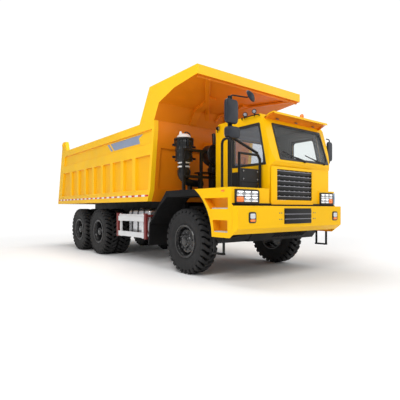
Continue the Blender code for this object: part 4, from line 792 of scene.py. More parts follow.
def addWheels():
    # every wheel sits where its CAD tyre and wheel are; a twin pair is one piece
    sets = [("front", "tyre", "wheel", "front_wheel"), ("middle", "tyres", "wheels", "middle_wheels"),
            ("rear", "tyres", "wheels", "rear_wheels")]
    for place, tyreWord, wheelWord, bodyWord in sets:
        for side, sign in (("left", 1), ("right", -1)):
            tyreNode = f"{place}_{tyreWord}_{side}"
            wheelNode = f"{place}_{wheelWord}_{side}"
            low, high = boxOf(tyreNode)
            hubLow, hubHigh = boxOf(wheelNode)
            axle = np.array([0, (low[1] + high[1]) / 2, (low[2] + high[2]) / 2])
            radius, half = (high[2] - low[2]) / 2, 0.1875
            bore = (hubHigh[2] - hubLow[2]) / 2 + 0.003
            outer, inner = high[0] - half, low[0] + half
            if sign < 0:
                outer, inner = inner, outer
            centres = [outer] if place == "front" else [outer, inner]
            carcass = carcassShape(radius, half, bore)
            rubber = joined([carcass, lugShape(radius, half, 1), lugShape(radius, half, -1)])
            body = f"{bodyWord}_{side}"
            name = place + side.capitalize()
            # painted shade: carcass faces near the tread base, between the lugs, take the near-black rubber
            middles = np.array([carcass[0][list(face)].mean(0) for face in carcass[1]])
            shadedGrooves = np.hypot(middles[:, 1], middles[:, 2]) > radius - tyre["lugDepth"] - 0.045
            picks = np.tile(np.concatenate([shadedGrooves, np.zeros(len(rubber[1]) - len(shadedGrooves))]), len(centres))
            piece = addPiece(name + "Tyres", repeated(rubber, [axle + [c, 0, 0] for c in centres]),
                             [tyreRubber, grooveShadeRubber], body, smooth=38, tidy=False,
                             picks=picks)
            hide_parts(tyreNode)
            reach = (hubHigh[0] - outer) if sign > 0 else (outer - hubLow[0])
            plates, nuts = hubFront(reach) if place == "front" else hubRear(reach, -0.10)
            mirror = np.array([sign, 1, 1])
            centre = axle + [outer, 0, 0]
            steel = [(points * mirror + centre, faces) for points, faces in [rimShape(half, bore)] + plates]
            if place != "front":
                points, faces = rimShape(half, bore)
                steel.append((points + axle + [inner, 0, 0], faces))
                drum = lathe([(-0.20, 0.0), (-0.20, 0.20), (0.10, 0.20), (0.10, 0.0)], 40)
                steel.append((drum[0] * mirror + axle + [inner, 0, 0], drum[1]))
            bolts = [(points * mirror + centre, faces) for points, faces in nuts]
            whole, picks = grouped(steel, bolts)
            piece = addPiece(name + "Rims", whole, [wheelBlack, boltDark], body, smooth=35,
                             picks=picks)
            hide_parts(wheelNode)
    print("wheels made")


addWheels()


def facing(shape, centre):
    # stands a plate made in XY upright in XZ, its face towards -Y
    return turned(shape, (90, 0, 0), centre)


lampSet = {"bezel": 0.030, "gap": 0.010, "columns": 3, "rows": 2}


def addHeadlights():
    for side in ("right", "left"):
        low, high = boxOf("headlight_" + side)
        wraps = side == "left"  # this cluster turns round the corner
        span = min(high[0] - low[0], 0.50) if wraps else high[0] - low[0]
        x0, x1 = low[0], low[0] + span
        z0, z1 = low[2], high[2]
        middle = np.array([(x0 + x1) / 2, high[1], (z0 + z1) / 2])
        shell = facing(pillow(superellipse(x1 - x0, z1 - z0, 12, 56), high[1] - low[1], 0.008), middle)
        ringPath = superellipse(x1 - x0 - 0.022, z1 - z0 - 0.022, 12, 56)
        ring = swept(np.stack([ringPath[:, 0] + middle[0], np.full(56, low[1] - 0.004),
                               ringPath[:, 1] + middle[2]], -1), superellipse(0.022, 0.020, 4, 12),
                     closed=True, up=(0, -1, 0))
        bezel, gap, columns, rows = (lampSet[key] for key in ("bezel", "gap", "columns", "rows"))
        black, chrome, amber, clear, blue = [shell, ring], [], [], [], []
        cellWide = (x1 - x0 - 2 * bezel - (columns - 1) * gap) / columns
        cellHigh = (z1 - z0 - 2 * bezel - (rows - 1) * gap) / rows
        for column in range(columns):
            for row in range(rows):
                x = x0 + bezel + cellWide / 2 + column * (cellWide + gap)
                z = z0 + bezel + cellHigh / 2 + row * (cellHigh + gap)
                indicator = row == 0 and column == (columns - 1 if wraps else 0)
                cell = facing(pillow(superellipse(cellWide, cellHigh, 7, 32), 0.010, 0.004, crown=0.006),
                              (x, low[1] + 0.002, z))
                bulb = facing(pillow(superellipse(cellHigh * 0.52, cellHigh * 0.52, 2, 20), 0.010, 0.004,
                                     crown=0.004), (x, low[1] - 0.009, z))
                (amber if indicator else chrome).append(cell)
                (amber if indicator else clear).append(bulb)
        if wraps:
            blue.append(block((x1 + 0.006, low[1] + 0.004, z0), (high[0], high[1] + 0.01, z1), 0.016, 4))
            black.append(block((x1 - 0.004, low[1] + 0.010, z0 + 0.004),
                               (high[0] - 0.01, high[1] + 0.012, z0 + 0.02), 0.004))
        shape, picks = grouped(black, chrome, amber, clear, blue)
        piece = addPiece("headlight" + side.capitalize(), shape,
                         [gasketRubber, lampChrome, lensAmber, lensClear, lensBlue], "root",
                         picks=picks, smooth=50)
        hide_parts("headlight_" + side)


bumperSet = {"ventRight": -0.36, "ventLeft": 0.49, "ventBottom": 1.07, "ventTop": 1.36, "slats": 3,
             "fogs": ((-1.245, 0.19), (1.36, 0.20)), "fogBottom": 1.10, "fogTop": 1.30}


def addBumperTrim():
    low, high = boxOf("front_bumper")
    front = low[1]
    s = bumperSet
    bottom, top = s["ventBottom"], s["ventTop"]
    pitch = (top - bottom) / s["slats"]

    def bar(inset, near, far, under, over, edge, steps=3):
        # a slab as wide as the vent less its inset; near and far are measured from the bumper's face
        return block((s["ventRight"] + inset, front + near, under),
                     (s["ventLeft"] - inset, front + far, over), edge, steps)

    dark = [bar(0.002, 0.045, 0.10, bottom + 0.002, top - 0.002, 0.004),
            bar(-0.006, -0.004, 0.030, bottom - 0.006, top + 0.006, 0.003)]
    grey = []
    for k in range(s["slats"]):
        z = bottom + k * pitch
        dark.append(bar(0.004, 0.012, 0.06, z + 0.020, z + pitch * 0.72, 0.012, 4))
        grey.append(bar(0.004, 0.006, 0.05, z + pitch * 0.72, z + pitch * 0.84, 0.005))
        z += 0.92 * pitch
        dark.append(bar(0.004, -0.022, 0.010, z - pitch * 0.80, z - pitch * 0.20, 0.012, 4))
        if k < s["slats"] - 1:
            grey.append(bar(0.004, -0.014, 0.006, z - pitch * 0.08, z + pitch * 0.04, 0.004))
    shape, picks = grouped(dark, grey)
    addPiece("bumperSlats", shape, [railBlack, slatGrey], "root", picks=picks)
    bolt = turned(hexBolt(0.011, 0.008, "y"), (0, 0, 180))
    spots = [(x + dx, front + 0.001, z) for x in (s["ventRight"] - 0.11, s["ventLeft"] + 0.11)
             for dx in (-0.03, 0.03) for z in (1.155, 1.275)]
    addPiece("bumperBolts", repeated(bolt, spots), boltDark, "root")
    cases, clear, amber = [], [], []
    for x, wide in s["fogs"]:
        z = (s["fogBottom"] + s["fogTop"]) / 2
        tall = s["fogTop"] - s["fogBottom"]
        cases.append(facing(pillow(superellipse(wide, tall, 5, 40), 0.022, 0.008), (x, front + 0.010, z)))
        for lenses, share, lift, crown in ((clear, 0.46, 0.13, 0.006), (amber, 0.22, -0.27, 0.004)):
            lens = pillow(superellipse(wide * 0.66, tall * share, 5, 28), 0.012, 0.004, crown=crown)
            lenses.append(facing(lens, (x, front - 0.008, z + tall * lift)))
    shape, picks = grouped(cases, clear, amber)
    addPiece("fogLamps", shape, [gasketRubber, lensClear, lensAmber], "root", picks=picks)
    # a black block fills the gap between bumper and fenders as painted shade, and the black guard slopes
    # back under the bumper
    gap = block((low[0] + 0.03, front + 0.16, high[2] - 0.02),
                (high[0] - 0.03, front + 0.24, high[2] + 0.05), 0.006)
    plate = [block((-1.02, -0.010, -0.17), (1.02, 0.010, 0.17), 0.006)]
    ribs = [turned(block((-0.010, -0.016, -0.12), (0.010, 0.004, 0.12), 0.006), (0, 38, 0),
                   (x, -0.006, -0.01)) for x in np.linspace(-0.30, 0.62, 12)]
    sloped = turned(joined(plate + ribs), (38, 0, 0), (0, front + 0.24, 0.88))
    lip = block((-1.02, front + 0.335, 0.735), (1.02, front + 0.42, 0.765), 0.006)
    addPiece("bellyGuard", joined([gap, sloped, lip]), chassisBlack, "root")


def addGrille():
    low, high = boxOf("cab_grille")
    rows = 6
    pitch = (high[2] - low[2]) / rows
    dark = [block((low[0] + 0.004, high[1] - 0.016, low[2] + 0.004),
                  (high[0] - 0.004, high[1], high[2] - 0.004), 0.003)]
    grey = []
    for k in range(rows):
        z = low[2] + k * pitch
        blade = turned(block((low[0] + 0.008, -0.030, -0.005), (high[0] - 0.008, 0.030, 0.005), 0.004),
                       (-52, 0, 0), (0, low[1] + 0.034, z + pitch * 0.42))
        nose = block((low[0] + 0.006, low[1] + 0.004, z + pitch * 0.10),
                     (high[0] - 0.006, low[1] + 0.040, z + pitch * 0.62), 0.012, 4)
        dark += [blade, nose]
        grey.append(block((low[0] + 0.006, low[1] - 0.002, z + pitch * 0.66),
                          (high[0] - 0.006, low[1] + 0.026, z + pitch * 0.76), 0.004))
        ticks = [(x, low[1] + 0.004, z + pitch * 0.79)
                 for x in np.linspace(low[0] + 0.10, high[0] - 0.10, 7)]
        grey.append(repeated(block((-0.014, 0, 0), (0.014, 0.022, 0.012), 0.003), ticks))
    for x in (low[0] + 0.006, high[0] - 0.006):
        dark.append(block((x - 0.010, low[1] + 0.002, low[2]), (x + 0.010, high[1], high[2]), 0.005))
    shape, picks = grouped(dark, grey)
    piece = addPiece("cabGrille", shape, [railBlack, slatGrey], "root", picks=picks)
    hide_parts("cab_grille")
    # the raised panel round the louvres: a ring between an outer and an inner outline, turned in at
    # both rims
    outer = roundedOutline([(low[0] - 0.17, low[2] - 0.09), (high[0] + 0.04, low[2] - 0.09),
                            (high[0] + 0.04, high[2] + 0.05), (low[0] - 0.17, high[2] + 0.05)], 0.03)
    inner = roundedOutline([(low[0], low[2]), (high[0], low[2]), (high[0], high[2]), (low[0], high[2])],
                           0.02)
    addPiece("grillePanel", plateRing(outer, inner, high[1] - 0.066, 0.014), bodyYellow, "root")


def plateRing(outer, inner, y, depth):
    # a flat ring in XZ: rows run inner back, inner front, outer front, outer back, and the last row
    # joins the first
    rows = [(inner, 0.0), (inner, depth), (outer + (inner - outer) * 0.04, depth), (outer, depth - 0.004),
            (outer, 0.0)]
    points = np.stack([np.stack([o[:, 0], np.full(len(o), y - d), o[:, 1]], -1) for o, d in rows])
    return gridShape(points, closeRows=True, closeColumns=True)


addHeadlights()
addBumperTrim()
addGrille()
print("front made")


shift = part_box("cab_shell")[0].y + 1.42  # from the drawing's own Y to the frame's
cab = {"belt": 2.24, "header": 3.06, "right": -0.57, "left": 1.43, "slope": 0.277, "beltFront": -1.42,
       "seal": 0.030, "sealRound": 0.075, "gasket": 0.016}


def sealShape(corners, place, width, rounding, depth):
    # a rubber seal: a ring between the opening and a rounder, smaller outline, laid on the pane's
    # plane by place
    corners = np.array(corners, float)
    middle = corners.mean(0)
    outer = roundedOutline(middle + (corners - middle) * (1 + 0.016 / np.abs(corners - middle).max(0)),
                           0.03, 8)
    inner = roundedOutline(middle + (corners - middle) * (1 - width / np.abs(corners - middle).max(0)),
                           rounding, 8)
    rows = [(inner, -depth * 0.4), (inner, depth * 0.7), (inner + (outer - inner) * 0.3, depth),
            (inner + (outer - inner) * 0.75, depth), (outer, depth * 0.5), (outer, -depth * 0.4)]
    points = np.stack([place(outline[:, 0], outline[:, 1], lift) for outline, lift in rows])
    return gridShape(points, closeRows=True, closeColumns=True)


def addSeals():
    c = cab
    tilt = math.hypot(1, c["slope"])

    def onFront(x, z, lift):
        y = c["beltFront"] + c["slope"] * (z - 2.29) - lift / tilt + shift
        return np.stack([x, y, z + lift * c["slope"] / tilt], -1)

    def onSide(x0, sign):
        return lambda y, z, lift: np.stack([np.full(len(y), x0 + sign * lift), y + shift, z], -1)

    front = [(c["right"] + 0.25, c["belt"] + 0.10), (c["left"] - 0.13, c["belt"] + 0.10),
             (c["left"] - 0.17, c["header"]), (c["right"] + 0.23, c["header"])]
    side = [(c["beltFront"] + 0.17, c["belt"]), (c["beltFront"] + 0.34, c["header"]), (-0.32, c["header"]),
            (-0.32, c["belt"])]
    door = [(-1.12, c["belt"] + 0.10), (-0.97, c["header"] - 0.07), (-0.35, c["header"] - 0.07),
            (-0.35, c["belt"] + 0.10)]
    rearLow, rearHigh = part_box("cab_window_rear")
    rear = [(rearLow.x, rearLow.z), (rearHigh.x, rearLow.z), (rearHigh.x, rearHigh.z),
            (rearLow.x, rearHigh.z)]
    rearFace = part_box("cab_shell")[1].y

    def onRear(x, z, lift):
        return np.stack([x, np.full(len(x), rearFace + lift), z], -1)

    seals = [sealShape(front, onFront, c["seal"], 0.11, c["gasket"]),
             sealShape(side, onSide(c["right"], -1), c["seal"], c["sealRound"], c["gasket"]),
             sealShape(side, onSide(c["right"] + 0.05, 1), c["seal"], c["sealRound"], c["gasket"] * 0.5),
             sealShape(rear, onRear, c["seal"], c["sealRound"], c["gasket"])]
    addPiece("windowSeals", joined(seals), gasketRubber, "root", smooth=50)
    addPiece("doorSeals", joined([
        sealShape(door, onSide(c["left"], 1), c["seal"], c["sealRound"], c["gasket"] * 0.8),
        sealShape(door, onSide(c["left"] - 0.05, -1), c["seal"], c["sealRound"], c["gasket"] * 0.5)]),
        gasketRubber, "door", smooth=50)
    for node, glass in (("windshield", windowGlass), ("cab_window_right", sideGlass),
                        ("cab_window_rear", windowGlass), ("door_glass", windowGlass)):
        frame["nodes"][node].data.materials.clear()
        frame["nodes"][node].data.materials.append(glass)

    # two wipers parked along the foot of the windshield
    wipers = []
    for pivot, tip in (((0.44, 2.325), (-0.20, 2.47)), ((1.13, 2.325), (0.52, 2.45))):
        ends = np.array([pivot, tip])
        along = np.linspace(0, 1, 8)[:, None]
        line = ends[0] + (ends[1] - ends[0]) * along
        arm = onFront(line[:, 0], line[:, 1], 0.030)
        wipers.append(swept(arm[:6], superellipse(0.016, 0.010, 4, 8), up=(0, -1, 0)))
        bladeEnds = ends[1] + (ends[0] - ends[1]) * np.array([[-0.04], [0.72]])
        bladeEnds += np.array([[0, 0.012], [0, -0.016]])
        blade = bladeEnds[0] + (bladeEnds[1] - bladeEnds[0]) * along
        wipers.append(swept(onFront(blade[:, 0], blade[:, 1], 0.022), superellipse(0.024, 0.014, 3, 8),
                            up=(0, -1, 0)))
        hub = onFront(np.array([pivot[0]]), np.array([pivot[1]]), 0.012)[0]
        knob = lathe([(0, 0), (0, 0.022), (0.022, 0.020), (0.028, 0.012), (0.028, 0)], 20, "y")
        wipers.append(turned(knob, (0, 0, 180), hub))
    addPiece("wipers", joined(wipers), railBlack, "root")


visor = {"right": -0.50, "left": 1.28, "hinge": (-1.150, 3.155), "tip": (-1.400, 3.235), "thick": 0.022}


def addRoof():
    # the sun visor is a bent plate carried across the cab, with end plates and three marker lamps under it;
    # its underside and end plates take an orange as painted shade
    v = visor
    inner, outer = np.array(v["hinge"]), np.array(v["tip"])
    t = np.linspace(0, 1, 8)[:, None]
    line = inner + (outer - inner) * t + np.array([0, 0.020]) * np.sin(t * math.pi)
    lipEnd = outer + np.array([-0.012, -0.026])
    line = np.vstack([line, lipEnd])
    normal = np.array([outer[1] - inner[1], -(outer[0] - inner[0])])
    normal = np.abs(normal / np.linalg.norm(normal)) * v["thick"]
    section = np.vstack([line, (line + normal * np.array([0.3, 1]))[::-1]])
    rows = []
    for x in (v["right"], v["right"] + 0.004, v["left"] - 0.004, v["left"]):
        rows.append(np.stack([np.full(len(section), x), section[:, 0] + shift, section[:, 1]], -1))
    plate = gridShape(np.stack(rows), closeColumns=True, capRows=True)
    count = len(line)
    picks = [1 if k % len(section) < count - 2 else 0 for k in range(3 * len(section))] + [0, 0]
    ends = []
    for x in (v["right"] + 0.006, v["left"] - 0.006):
        corners = np.array([inner + [0.02, -0.05], outer + [0.02, -0.008], inner + [0.01, 0.03]])
        loop = roundedOutline(corners, 0.02, 3)
        ends.append(gridShape(np.stack([np.stack([np.full(len(loop), x + d), loop[:, 0] + shift,
                                                  loop[:, 1]], -1) for d in (-0.006, 0.006)]),
                              closeColumns=True, capRows=True))
    endShape = joined(ends)
    addPiece("sunVisor", joined([plate, endShape]), [bodyYellow, paintedShadeYellow], "root",
             picks=picks + [1] * len(endShape[1]))
    markers = []
    for x in (-0.20, 0.40, 1.00):
        markers.append(turned(pillow(superellipse(0.085, 0.032, 3, 24), 0.020, 0.006, crown=0.004),
                              (-160, 0, 0), (x, -1.235 + shift, 3.178)))
    addPiece("markerLamps", joined(markers), dashBlack, "root")
    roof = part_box("cab_shell")[1].z
    spot = np.array([1.02, -0.92 + shift, roof + 0.11])
    stem = lathe([(-0.114, 0), (-0.114, 0.062), (-0.100, 0.060), (-0.096, 0.040), (-0.004, 0.040),
                  (0.004, 0.058), (0.018, 0.060), (0.030, 0.050), (0.046, 0.048), (0.046, 0)], 32, "z")
    addPiece("beaconBase", turned(stem, centre=spot), railBlack, "root")
    dome = lathe([(0.044, 0), (0.044, 0.048), (0.060, 0.049), (0.100, 0.047), (0.135, 0.042), (0.152, 0.030),
                  (0.160, 0.012), (0.160, 0)], 32, "z")
    addPiece("beacon", turned(dome, centre=spot), lensAmber, "root")
    # twin work lamps on the right roof edge, and one on the rear corner
    black, lenses = [], []
    places = [((-0.60, -0.72, roof - 0.03), 60), ((-0.60, -1.00, roof - 0.02), 35),
              ((-0.60, 0.16, roof - 0.16), 110)]
    case = lathe([(0.0, 0), (0.0, 0.030), (0.020, 0.044), (0.055, 0.048), (0.062, 0.046), (0.062, 0.040),
                  (0.056, 0.036), (0.056, 0)], 24)
    lens = lathe([(0.055, 0.037), (0.061, 0.030), (0.064, 0.0)], 24)
    stand = tube([(0.02, 0, -0.09), (0.02, 0, -0.03)], 0.009, 8)
    for (x, y, z), turn in places:
        for shape, group in ((case, black), (lens, lenses), (stand, black)):
            group.append(turned(shape, (0, 0, 180 + turn), (x - 0.02, y + shift, z + 0.06)))
    bracket = tube(bentPath([(-0.545, -0.60 + shift, roof - 0.05), (-0.62, -0.62 + shift, roof - 0.02),
                             (-0.62, -1.08 + shift, roof - 0.02), (-0.545, -1.10 + shift, roof - 0.05)],
                            0.03), 0.011, 8)
    shape, picks = grouped(black + [bracket], lenses)
    addPiece("roofLamps", shape, [railBlack, slatGrey], "root", picks=picks)


def addCabInside():
    low, high = boxOf("steering_wheel")
    centre = np.array([(low[0] + high[0]) / 2, -0.88 + shift, 2.47])
    t = np.linspace(0, 2 * math.pi, 64, endpoint=False)
    rimPath = np.stack([0.215 * np.cos(t), 0.215 * np.sin(t), np.zeros(64)], -1)
    ring = swept(rimPath, superellipse(0.032, 0.030, 2, 14), closed=True)
    spokes = []
    for angle in (90, 210, 330):
        a = math.radians(angle)
        spokes.append(swept([(0, 0, -0.030), (0.10 * math.cos(a), 0.10 * math.sin(a), -0.018),
                             (0.206 * math.cos(a), 0.206 * math.sin(a), 0.0)],
                            superellipse(0.034, 0.014, 3, 10)))
    hub = lathe([(-0.055, 0), (-0.055, 0.045), (-0.020, 0.058), (-0.004, 0.052), (0.002, 0.030),
                 (0.002, 0)], 32, "z")
    column = tube([(0, 0, -0.27), (0, 0, -0.04)], 0.028, 16, up=(1, 0, 0))
    shapes = [turned(s, (28, 0, 0), centre) for s in (ring, hub, column, *spokes)]
    piece = addPiece("steeringWheel", joined(shapes), dashBlack, "root", smooth=50)
    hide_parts("steering_wheel")
    # instruments on the dashboard: a hooded cluster with two blank dials, and a row of switches
    low, high = boxOf("dashboard")
    hood = turned(pillow(superellipse(0.42, 0.16, 4, 40), 0.05, 0.018), (64, 0, 0),
                  (0.93, high[1] - 0.075, high[2] - 0.03))
    dial = lathe([(0, 0), (0, 0.052), (0.010, 0.055), (0.012, 0.046), (0.006, 0.044), (0.006, 0)], 32, "z")
    dials = [turned(dial, (64, 0, 0), (0.93 + dx, high[1] - 0.030, high[2] - 0.010)) for dx in (-0.09, 0.09)]
    switches = repeated(block((-0.014, -0.012, -0.02), (0.014, 0.012, 0.02), 0.004),
                        [(x, high[1] - 0.012, high[2] - 0.14) for x in np.linspace(-0.30, 0.50, 14)])
    addPiece("instruments", joined([hood, *dials, switches]), dashBlack, "root")


def addSeat():
    # a suspension base, then two cushions: crowned blocks blown up as cloth, capped, and smoothed once
    low, high = boxOf("seat")
    x = (low[0] + high[0]) / 2
    base = [block((x - 0.19, low[1] + 0.06, low[2]), (x + 0.19, high[1] - 0.10, low[2] + 0.05), 0.012),
            block((x - 0.21, low[1] + 0.03, low[2] + 0.20), (x + 0.21, high[1] - 0.09, low[2] + 0.262),
                  0.016)]
    folds = np.linspace(low[2] + 0.05, low[2] + 0.20, 25)
    bellows = np.stack([np.concatenate([superellipse(0.30 + 0.03 * math.cos(k * math.pi / 3),
                                                     0.26 + 0.03 * math.cos(k * math.pi / 3), 5, 40),
                                        np.full((40, 1), z)], 1) for k, z in enumerate(folds)])
    base.append(turned(gridShape(bellows, closeColumns=True, capRows=True),
                       centre=(x, (low[1] + high[1]) / 2 - 0.02, 0)))
    piece = addPiece("seatBase", joined(base), dashBlack, "root")
    cushions = {
        "seatCushion": {"size": (0.46, 0.47, 0.10), "place": (x, low[1] + 0.25, low[2] + 0.345),
                        "tilt": (0, 0, 0)},
        "seatBack": {"size": (0.44, 0.56, 0.09), "place": (x, high[1] - 0.072, low[2] + 0.70),
                     "tilt": (86, 0, 0)},
    }
    for name, c in cushions.items():
        wide, tall, thick = c["size"]
        shape = pillow(superellipse(wide, tall, 5, 48), thick, thick * 0.42, crown=0.012, steps=6)
        shape = turned(turned(shape, centre=(0, 0, -thick / 2)), c["tilt"], c["place"])
        cushion = addPiece(name, shape, seatFabric, "root", smooth=180)
        inflate(cushion, 0.012)
    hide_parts("seat")
    # piping along both cushions' rims
    piping = []
    for name, c in cushions.items():
        wide, tall, thick = c["size"]
        loop = superellipse(wide + 0.004, tall + 0.004, 5, 64)
        ring = swept(np.concatenate([loop, np.full((64, 1), 0.0)], 1), superellipse(0.009, 0.009, 2, 8),
                     closed=True)
        piping.append(turned(ring, c["tilt"], c["place"]))
    addPiece("seatPiping", joined(piping), gasketRubber, "root", smooth=60)


def inflate(piece, most):
    # voxels 6 mm wide, pressure without gravity for 16 frames, movement capped, then one subdivision
    start = piece.modifiers.new("voxels", "REMESH")
    start.mode = "VOXEL"
    start.voxel_size = 0.006
    graph = bpy.context.evaluated_depsgraph_get()
    old = piece.data
    materials = list(old.materials)
    mesh = bpy.data.meshes.new_from_object(piece.evaluated_get(graph))
    piece.modifiers.clear()
    piece.data = mesh
    mesh.materials.clear()
    for material in materials:
        mesh.materials.append(material)
    rest = np.empty(len(mesh.vertices) * 3)
    mesh.vertices.foreach_get("co", rest)
    cloth = piece.modifiers.new("cloth", "CLOTH")
    cloth.settings.use_pressure = True
    cloth.settings.uniform_pressure_force = 4.0
    cloth.settings.effector_weights.gravity = 0.0
    cloth.settings.quality = 5
    for number in range(1, 17):
        scene.frame_set(number)
    graph = bpy.context.evaluated_depsgraph_get()
    blown = bpy.data.meshes.new_from_object(piece.evaluated_get(graph))
    moved = np.empty(len(blown.vertices) * 3)
    blown.vertices.foreach_get("co", moved)
    step = (moved - rest).reshape(-1, 3)
    length = np.linalg.norm(step, axis=1)[:, None]
    step *= np.minimum(1.0, most / np.maximum(length, 1e-9))
    mesh.vertices.foreach_set("co", (rest.reshape(-1, 3) + step).ravel())
    piece.modifiers.clear()
    mesh.shade_smooth()
    scene.frame_set(1)
    smooth = piece.modifiers.new("smooth", "SUBSURF")
    smooth.levels = smooth.render_levels = 1


def addDoorTrim():
    low, high = boxOf("cab_door")
    x = cab["left"]
    grip = tube(bentPath([(x + 0.004, -0.44 + shift, 2.16), (x + 0.030, -0.44 + shift, 2.16),
                          (x + 0.030, -0.30 + shift, 2.16), (x + 0.004, -0.30 + shift, 2.16)], 0.02),
                0.010, 10)
    plate = turned(pillow(superellipse(0.17, 0.08, 5, 28), 0.008, 0.003), (90, 0, 90),
                   (x - 0.001, -0.37 + shift, 2.16))
    mould = block((x - 0.002, low[1] + 0.03, 1.98), (x + 0.006, high[1] - 0.03, 2.00), 0.003)
    addPiece("doorHandle", joined([grip, plate]), railBlack, "door")
    # the moulding is coloured with the orange of painted shade
    addPiece("doorMoulding", mould, recessShadeYellow, "door")


addSeals()
addRoof()
addCabInside()
addSeat()
addDoorTrim()
print("cab made")


def addAirFilter():
    low, high = boxOf("air_filter")
    r = (high[1] - low[1]) / 2
    axis = np.array([low[0] + r, (low[1] + high[1]) / 2, 0])
    z0, z1 = 2.46, 2.93

    def stand(profile, steps=48):
        points, faces = lathe(profile, steps, "z")
        return points + axis, faces
    # canister wall: radius swells and falls between rings, and eight flats show through as shallow ribs
    heights = np.linspace(z0, z1, 33)
    angle = np.linspace(0, 2 * math.pi, 96, endpoint=False)
    wave = 0.010 * np.abs(np.cos((heights - z0) / (z1 - z0) * math.pi * 3))[:, None]
    ribs = 0.006 * (np.cos(angle * 16)[None] > 0.55)
    radius = r * 0.87 - wave + ribs
    wall = np.stack([axis[0] + radius * np.cos(angle)[None], axis[1] + radius * np.sin(angle)[None],
                     np.broadcast_to(heights[:, None], radius.shape)], -1)
    body = [gridShape(wall, closeColumns=True, capRows=True),
            stand([(z1 - 0.005, 0), (z1 - 0.005, r * 0.97), (z1 + 0.004, r), (z1 + 0.024, r),
                   (z1 + 0.034, r * 0.95), (z1 + 0.036, 0)]),
            stand([(z0 - 0.03, 0), (z0 - 0.03, r * 0.60), (z0 - 0.016, r * 0.88), (z0 + 0.012, r * 0.92),
                   (z0 + 0.03, r * 0.88), (z0 + 0.03, 0)]),
            stand([(2.25, 0), (2.25, 0.125), (2.30, 0.118), (2.36, 0.120), (2.40, 0.128), (2.44, 0.150),
                   (2.44, 0)]),
            stand([(1.99, 0), (1.99, 0.070), (2.05, 0.115), (2.14, 0.150), (2.22, 0.155), (2.27, 0.130),
                   (2.27, 0)])]
    clips = ringed(block((-0.008, -0.022, 2.78), (0.016, 0.022, 2.95), 0.006), 6, r * 0.90, "z", 20)
    body.append((clips[0] + axis, clips[1]))
    duct = smoothPath([(axis[0], axis[1], 2.10), (axis[0] + 0.05, axis[1] - 0.01, 2.0),
                       (axis[0] + 0.20, axis[1] - 0.02, 1.95), (high[0] - 0.06, axis[1] - 0.02, 1.95)], 6)
    body.append(tube(duct, 0.085, 20, up=(0, 1, 0)))
    body.append(block((axis[0] + 0.12, axis[1] - 0.06, 1.752), (axis[0] + 0.20, axis[1] + 0.04, 1.93),
                      0.008))
    strap = [block((axis[0] - r * 0.9, axis[1] + r * 0.62, z),
                   (high[0] - 0.10, axis[1] + r * 0.78, z + 0.05), 0.006) for z in (2.52, 2.80)]
    piece = addPiece("airFilter", joined(body + strap), filterBlack, "root", smooth=40)
    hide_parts("air_filter")
    bands = [stand([(z, 0.10), (z, 0.136), (z + 0.006, 0.142), (z + 0.030, 0.142), (z + 0.036, 0.136),
                    (z + 0.036, 0.10)]) for z in (2.295, 2.385)]
    cap = stand([(z1 + 0.03, 0), (z1 + 0.03, r * 0.72), (z1 + 0.07, r * 0.70), (z1 + 0.10, r * 0.60),
                 (z1 + 0.125, r * 0.50), (z1 + 0.135, r * 0.30), (z1 + 0.137, 0)])
    lug = turned(lathe([(0, 0), (0, 0.034), (0.035, 0.030), (0.065, 0.016), (0.068, 0)], 20, "z"),
                 centre=axis + np.array([-0.09, 0, z1 + 0.12]))
    addPiece("filterCap", joined(bands + [cap, lug]), capWhite, "root", smooth=50)
    loop = smoothPath([(axis[0] + 0.01, axis[1], z1 + 0.10), (axis[0] + 0.03, axis[1], z1 + 0.17),
                       (axis[0] + 0.10, axis[1], z1 + 0.19), (axis[0] + 0.17, axis[1], z1 + 0.14),
                       (axis[0] + 0.19, axis[1], z1 + 0.02)], 8)
    addPiece("filterHose", tube(loop, 0.016, 12, up=(0, 1, 0)), hoseRubber, "root")


def addDrum():
    low, high = boxOf("muffler")
    radius = 0.245
    centre = np.array([-0.40, low[1] + 0.262, 2.62])
    half = 0.138
    drum = lathe([(-half, 0), (-half, radius - 0.05), (-half + 0.012, radius - 0.045),
                  (-half + 0.004, radius - 0.030), (-half + 0.010, radius - 0.008),
                  (-half + 0.022, radius), (-half + 0.034, radius - 0.006),
                  (half - 0.034, radius - 0.006), (half - 0.022, radius), (half - 0.010, radius - 0.008),
                  (half - 0.004, radius - 0.030), (half - 0.012, radius - 0.045), (half, radius - 0.05),
                  (half, 0)], 72)
    ridge = turned(block((-half - 0.008, -0.014, -radius * 0.93), (-half + 0.014, 0.014, radius * 0.93),
                         0.006), (52, 0, 0))
    clamp = turned(block((-half - 0.012, -0.03, -0.03), (-half + 0.010, 0.03, 0.03), 0.008), (52, 0, 0),
                   (0, -radius * 0.60, radius * 0.56))
    pipeX, pipeY = -0.25, high[1] - 0.145
    pipe = tube([(pipeX, pipeY, centre[2] + 0.12), (pipeX, pipeY, high[2] - 0.16),
                 (pipeX, pipeY + 0.008, high[2] - 0.06), (pipeX, pipeY + 0.024, high[2])], 0.045, 24,
                up=(0, 1, 0))
    collar = tube([(pipeX, pipeY, centre[2] + 0.20), (pipeX, pipeY, centre[2] + 0.26)], 0.054, 24,
                  up=(0, 1, 0))
    foot = block((centre[0] - 0.08, centre[1] - 0.10, low[2] + 0.002),
                 (centre[0] + 0.08, centre[1] + 0.10, low[2] + 0.12), 0.012)
    shapes = [turned(s, (0, 0, 90), centre) for s in (drum, ridge, clamp)] + [pipe, collar, foot]
    piece = addPiece("mufflerDrum", joined(shapes), filterBlack, "root", smooth=38)
    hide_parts("muffler")


def housing(wide, tall, depth, centre, power=6):
    # a mirror's shell: a rounded plate that bulges towards the front, and a recessed mirror glass at
    # its back
    shell = facing(pillow(superellipse(wide, tall, power, 56), depth, min(0.028, depth * 0.45),
                          crown=0.010, steps=6), centre)
    glass = facing(pillow(superellipse(wide * 0.90, tall * 0.93, power, 48), 0.004, 0.001),
                   (centre[0], centre[1] + 0.004, centre[2]))
    return shell, glass


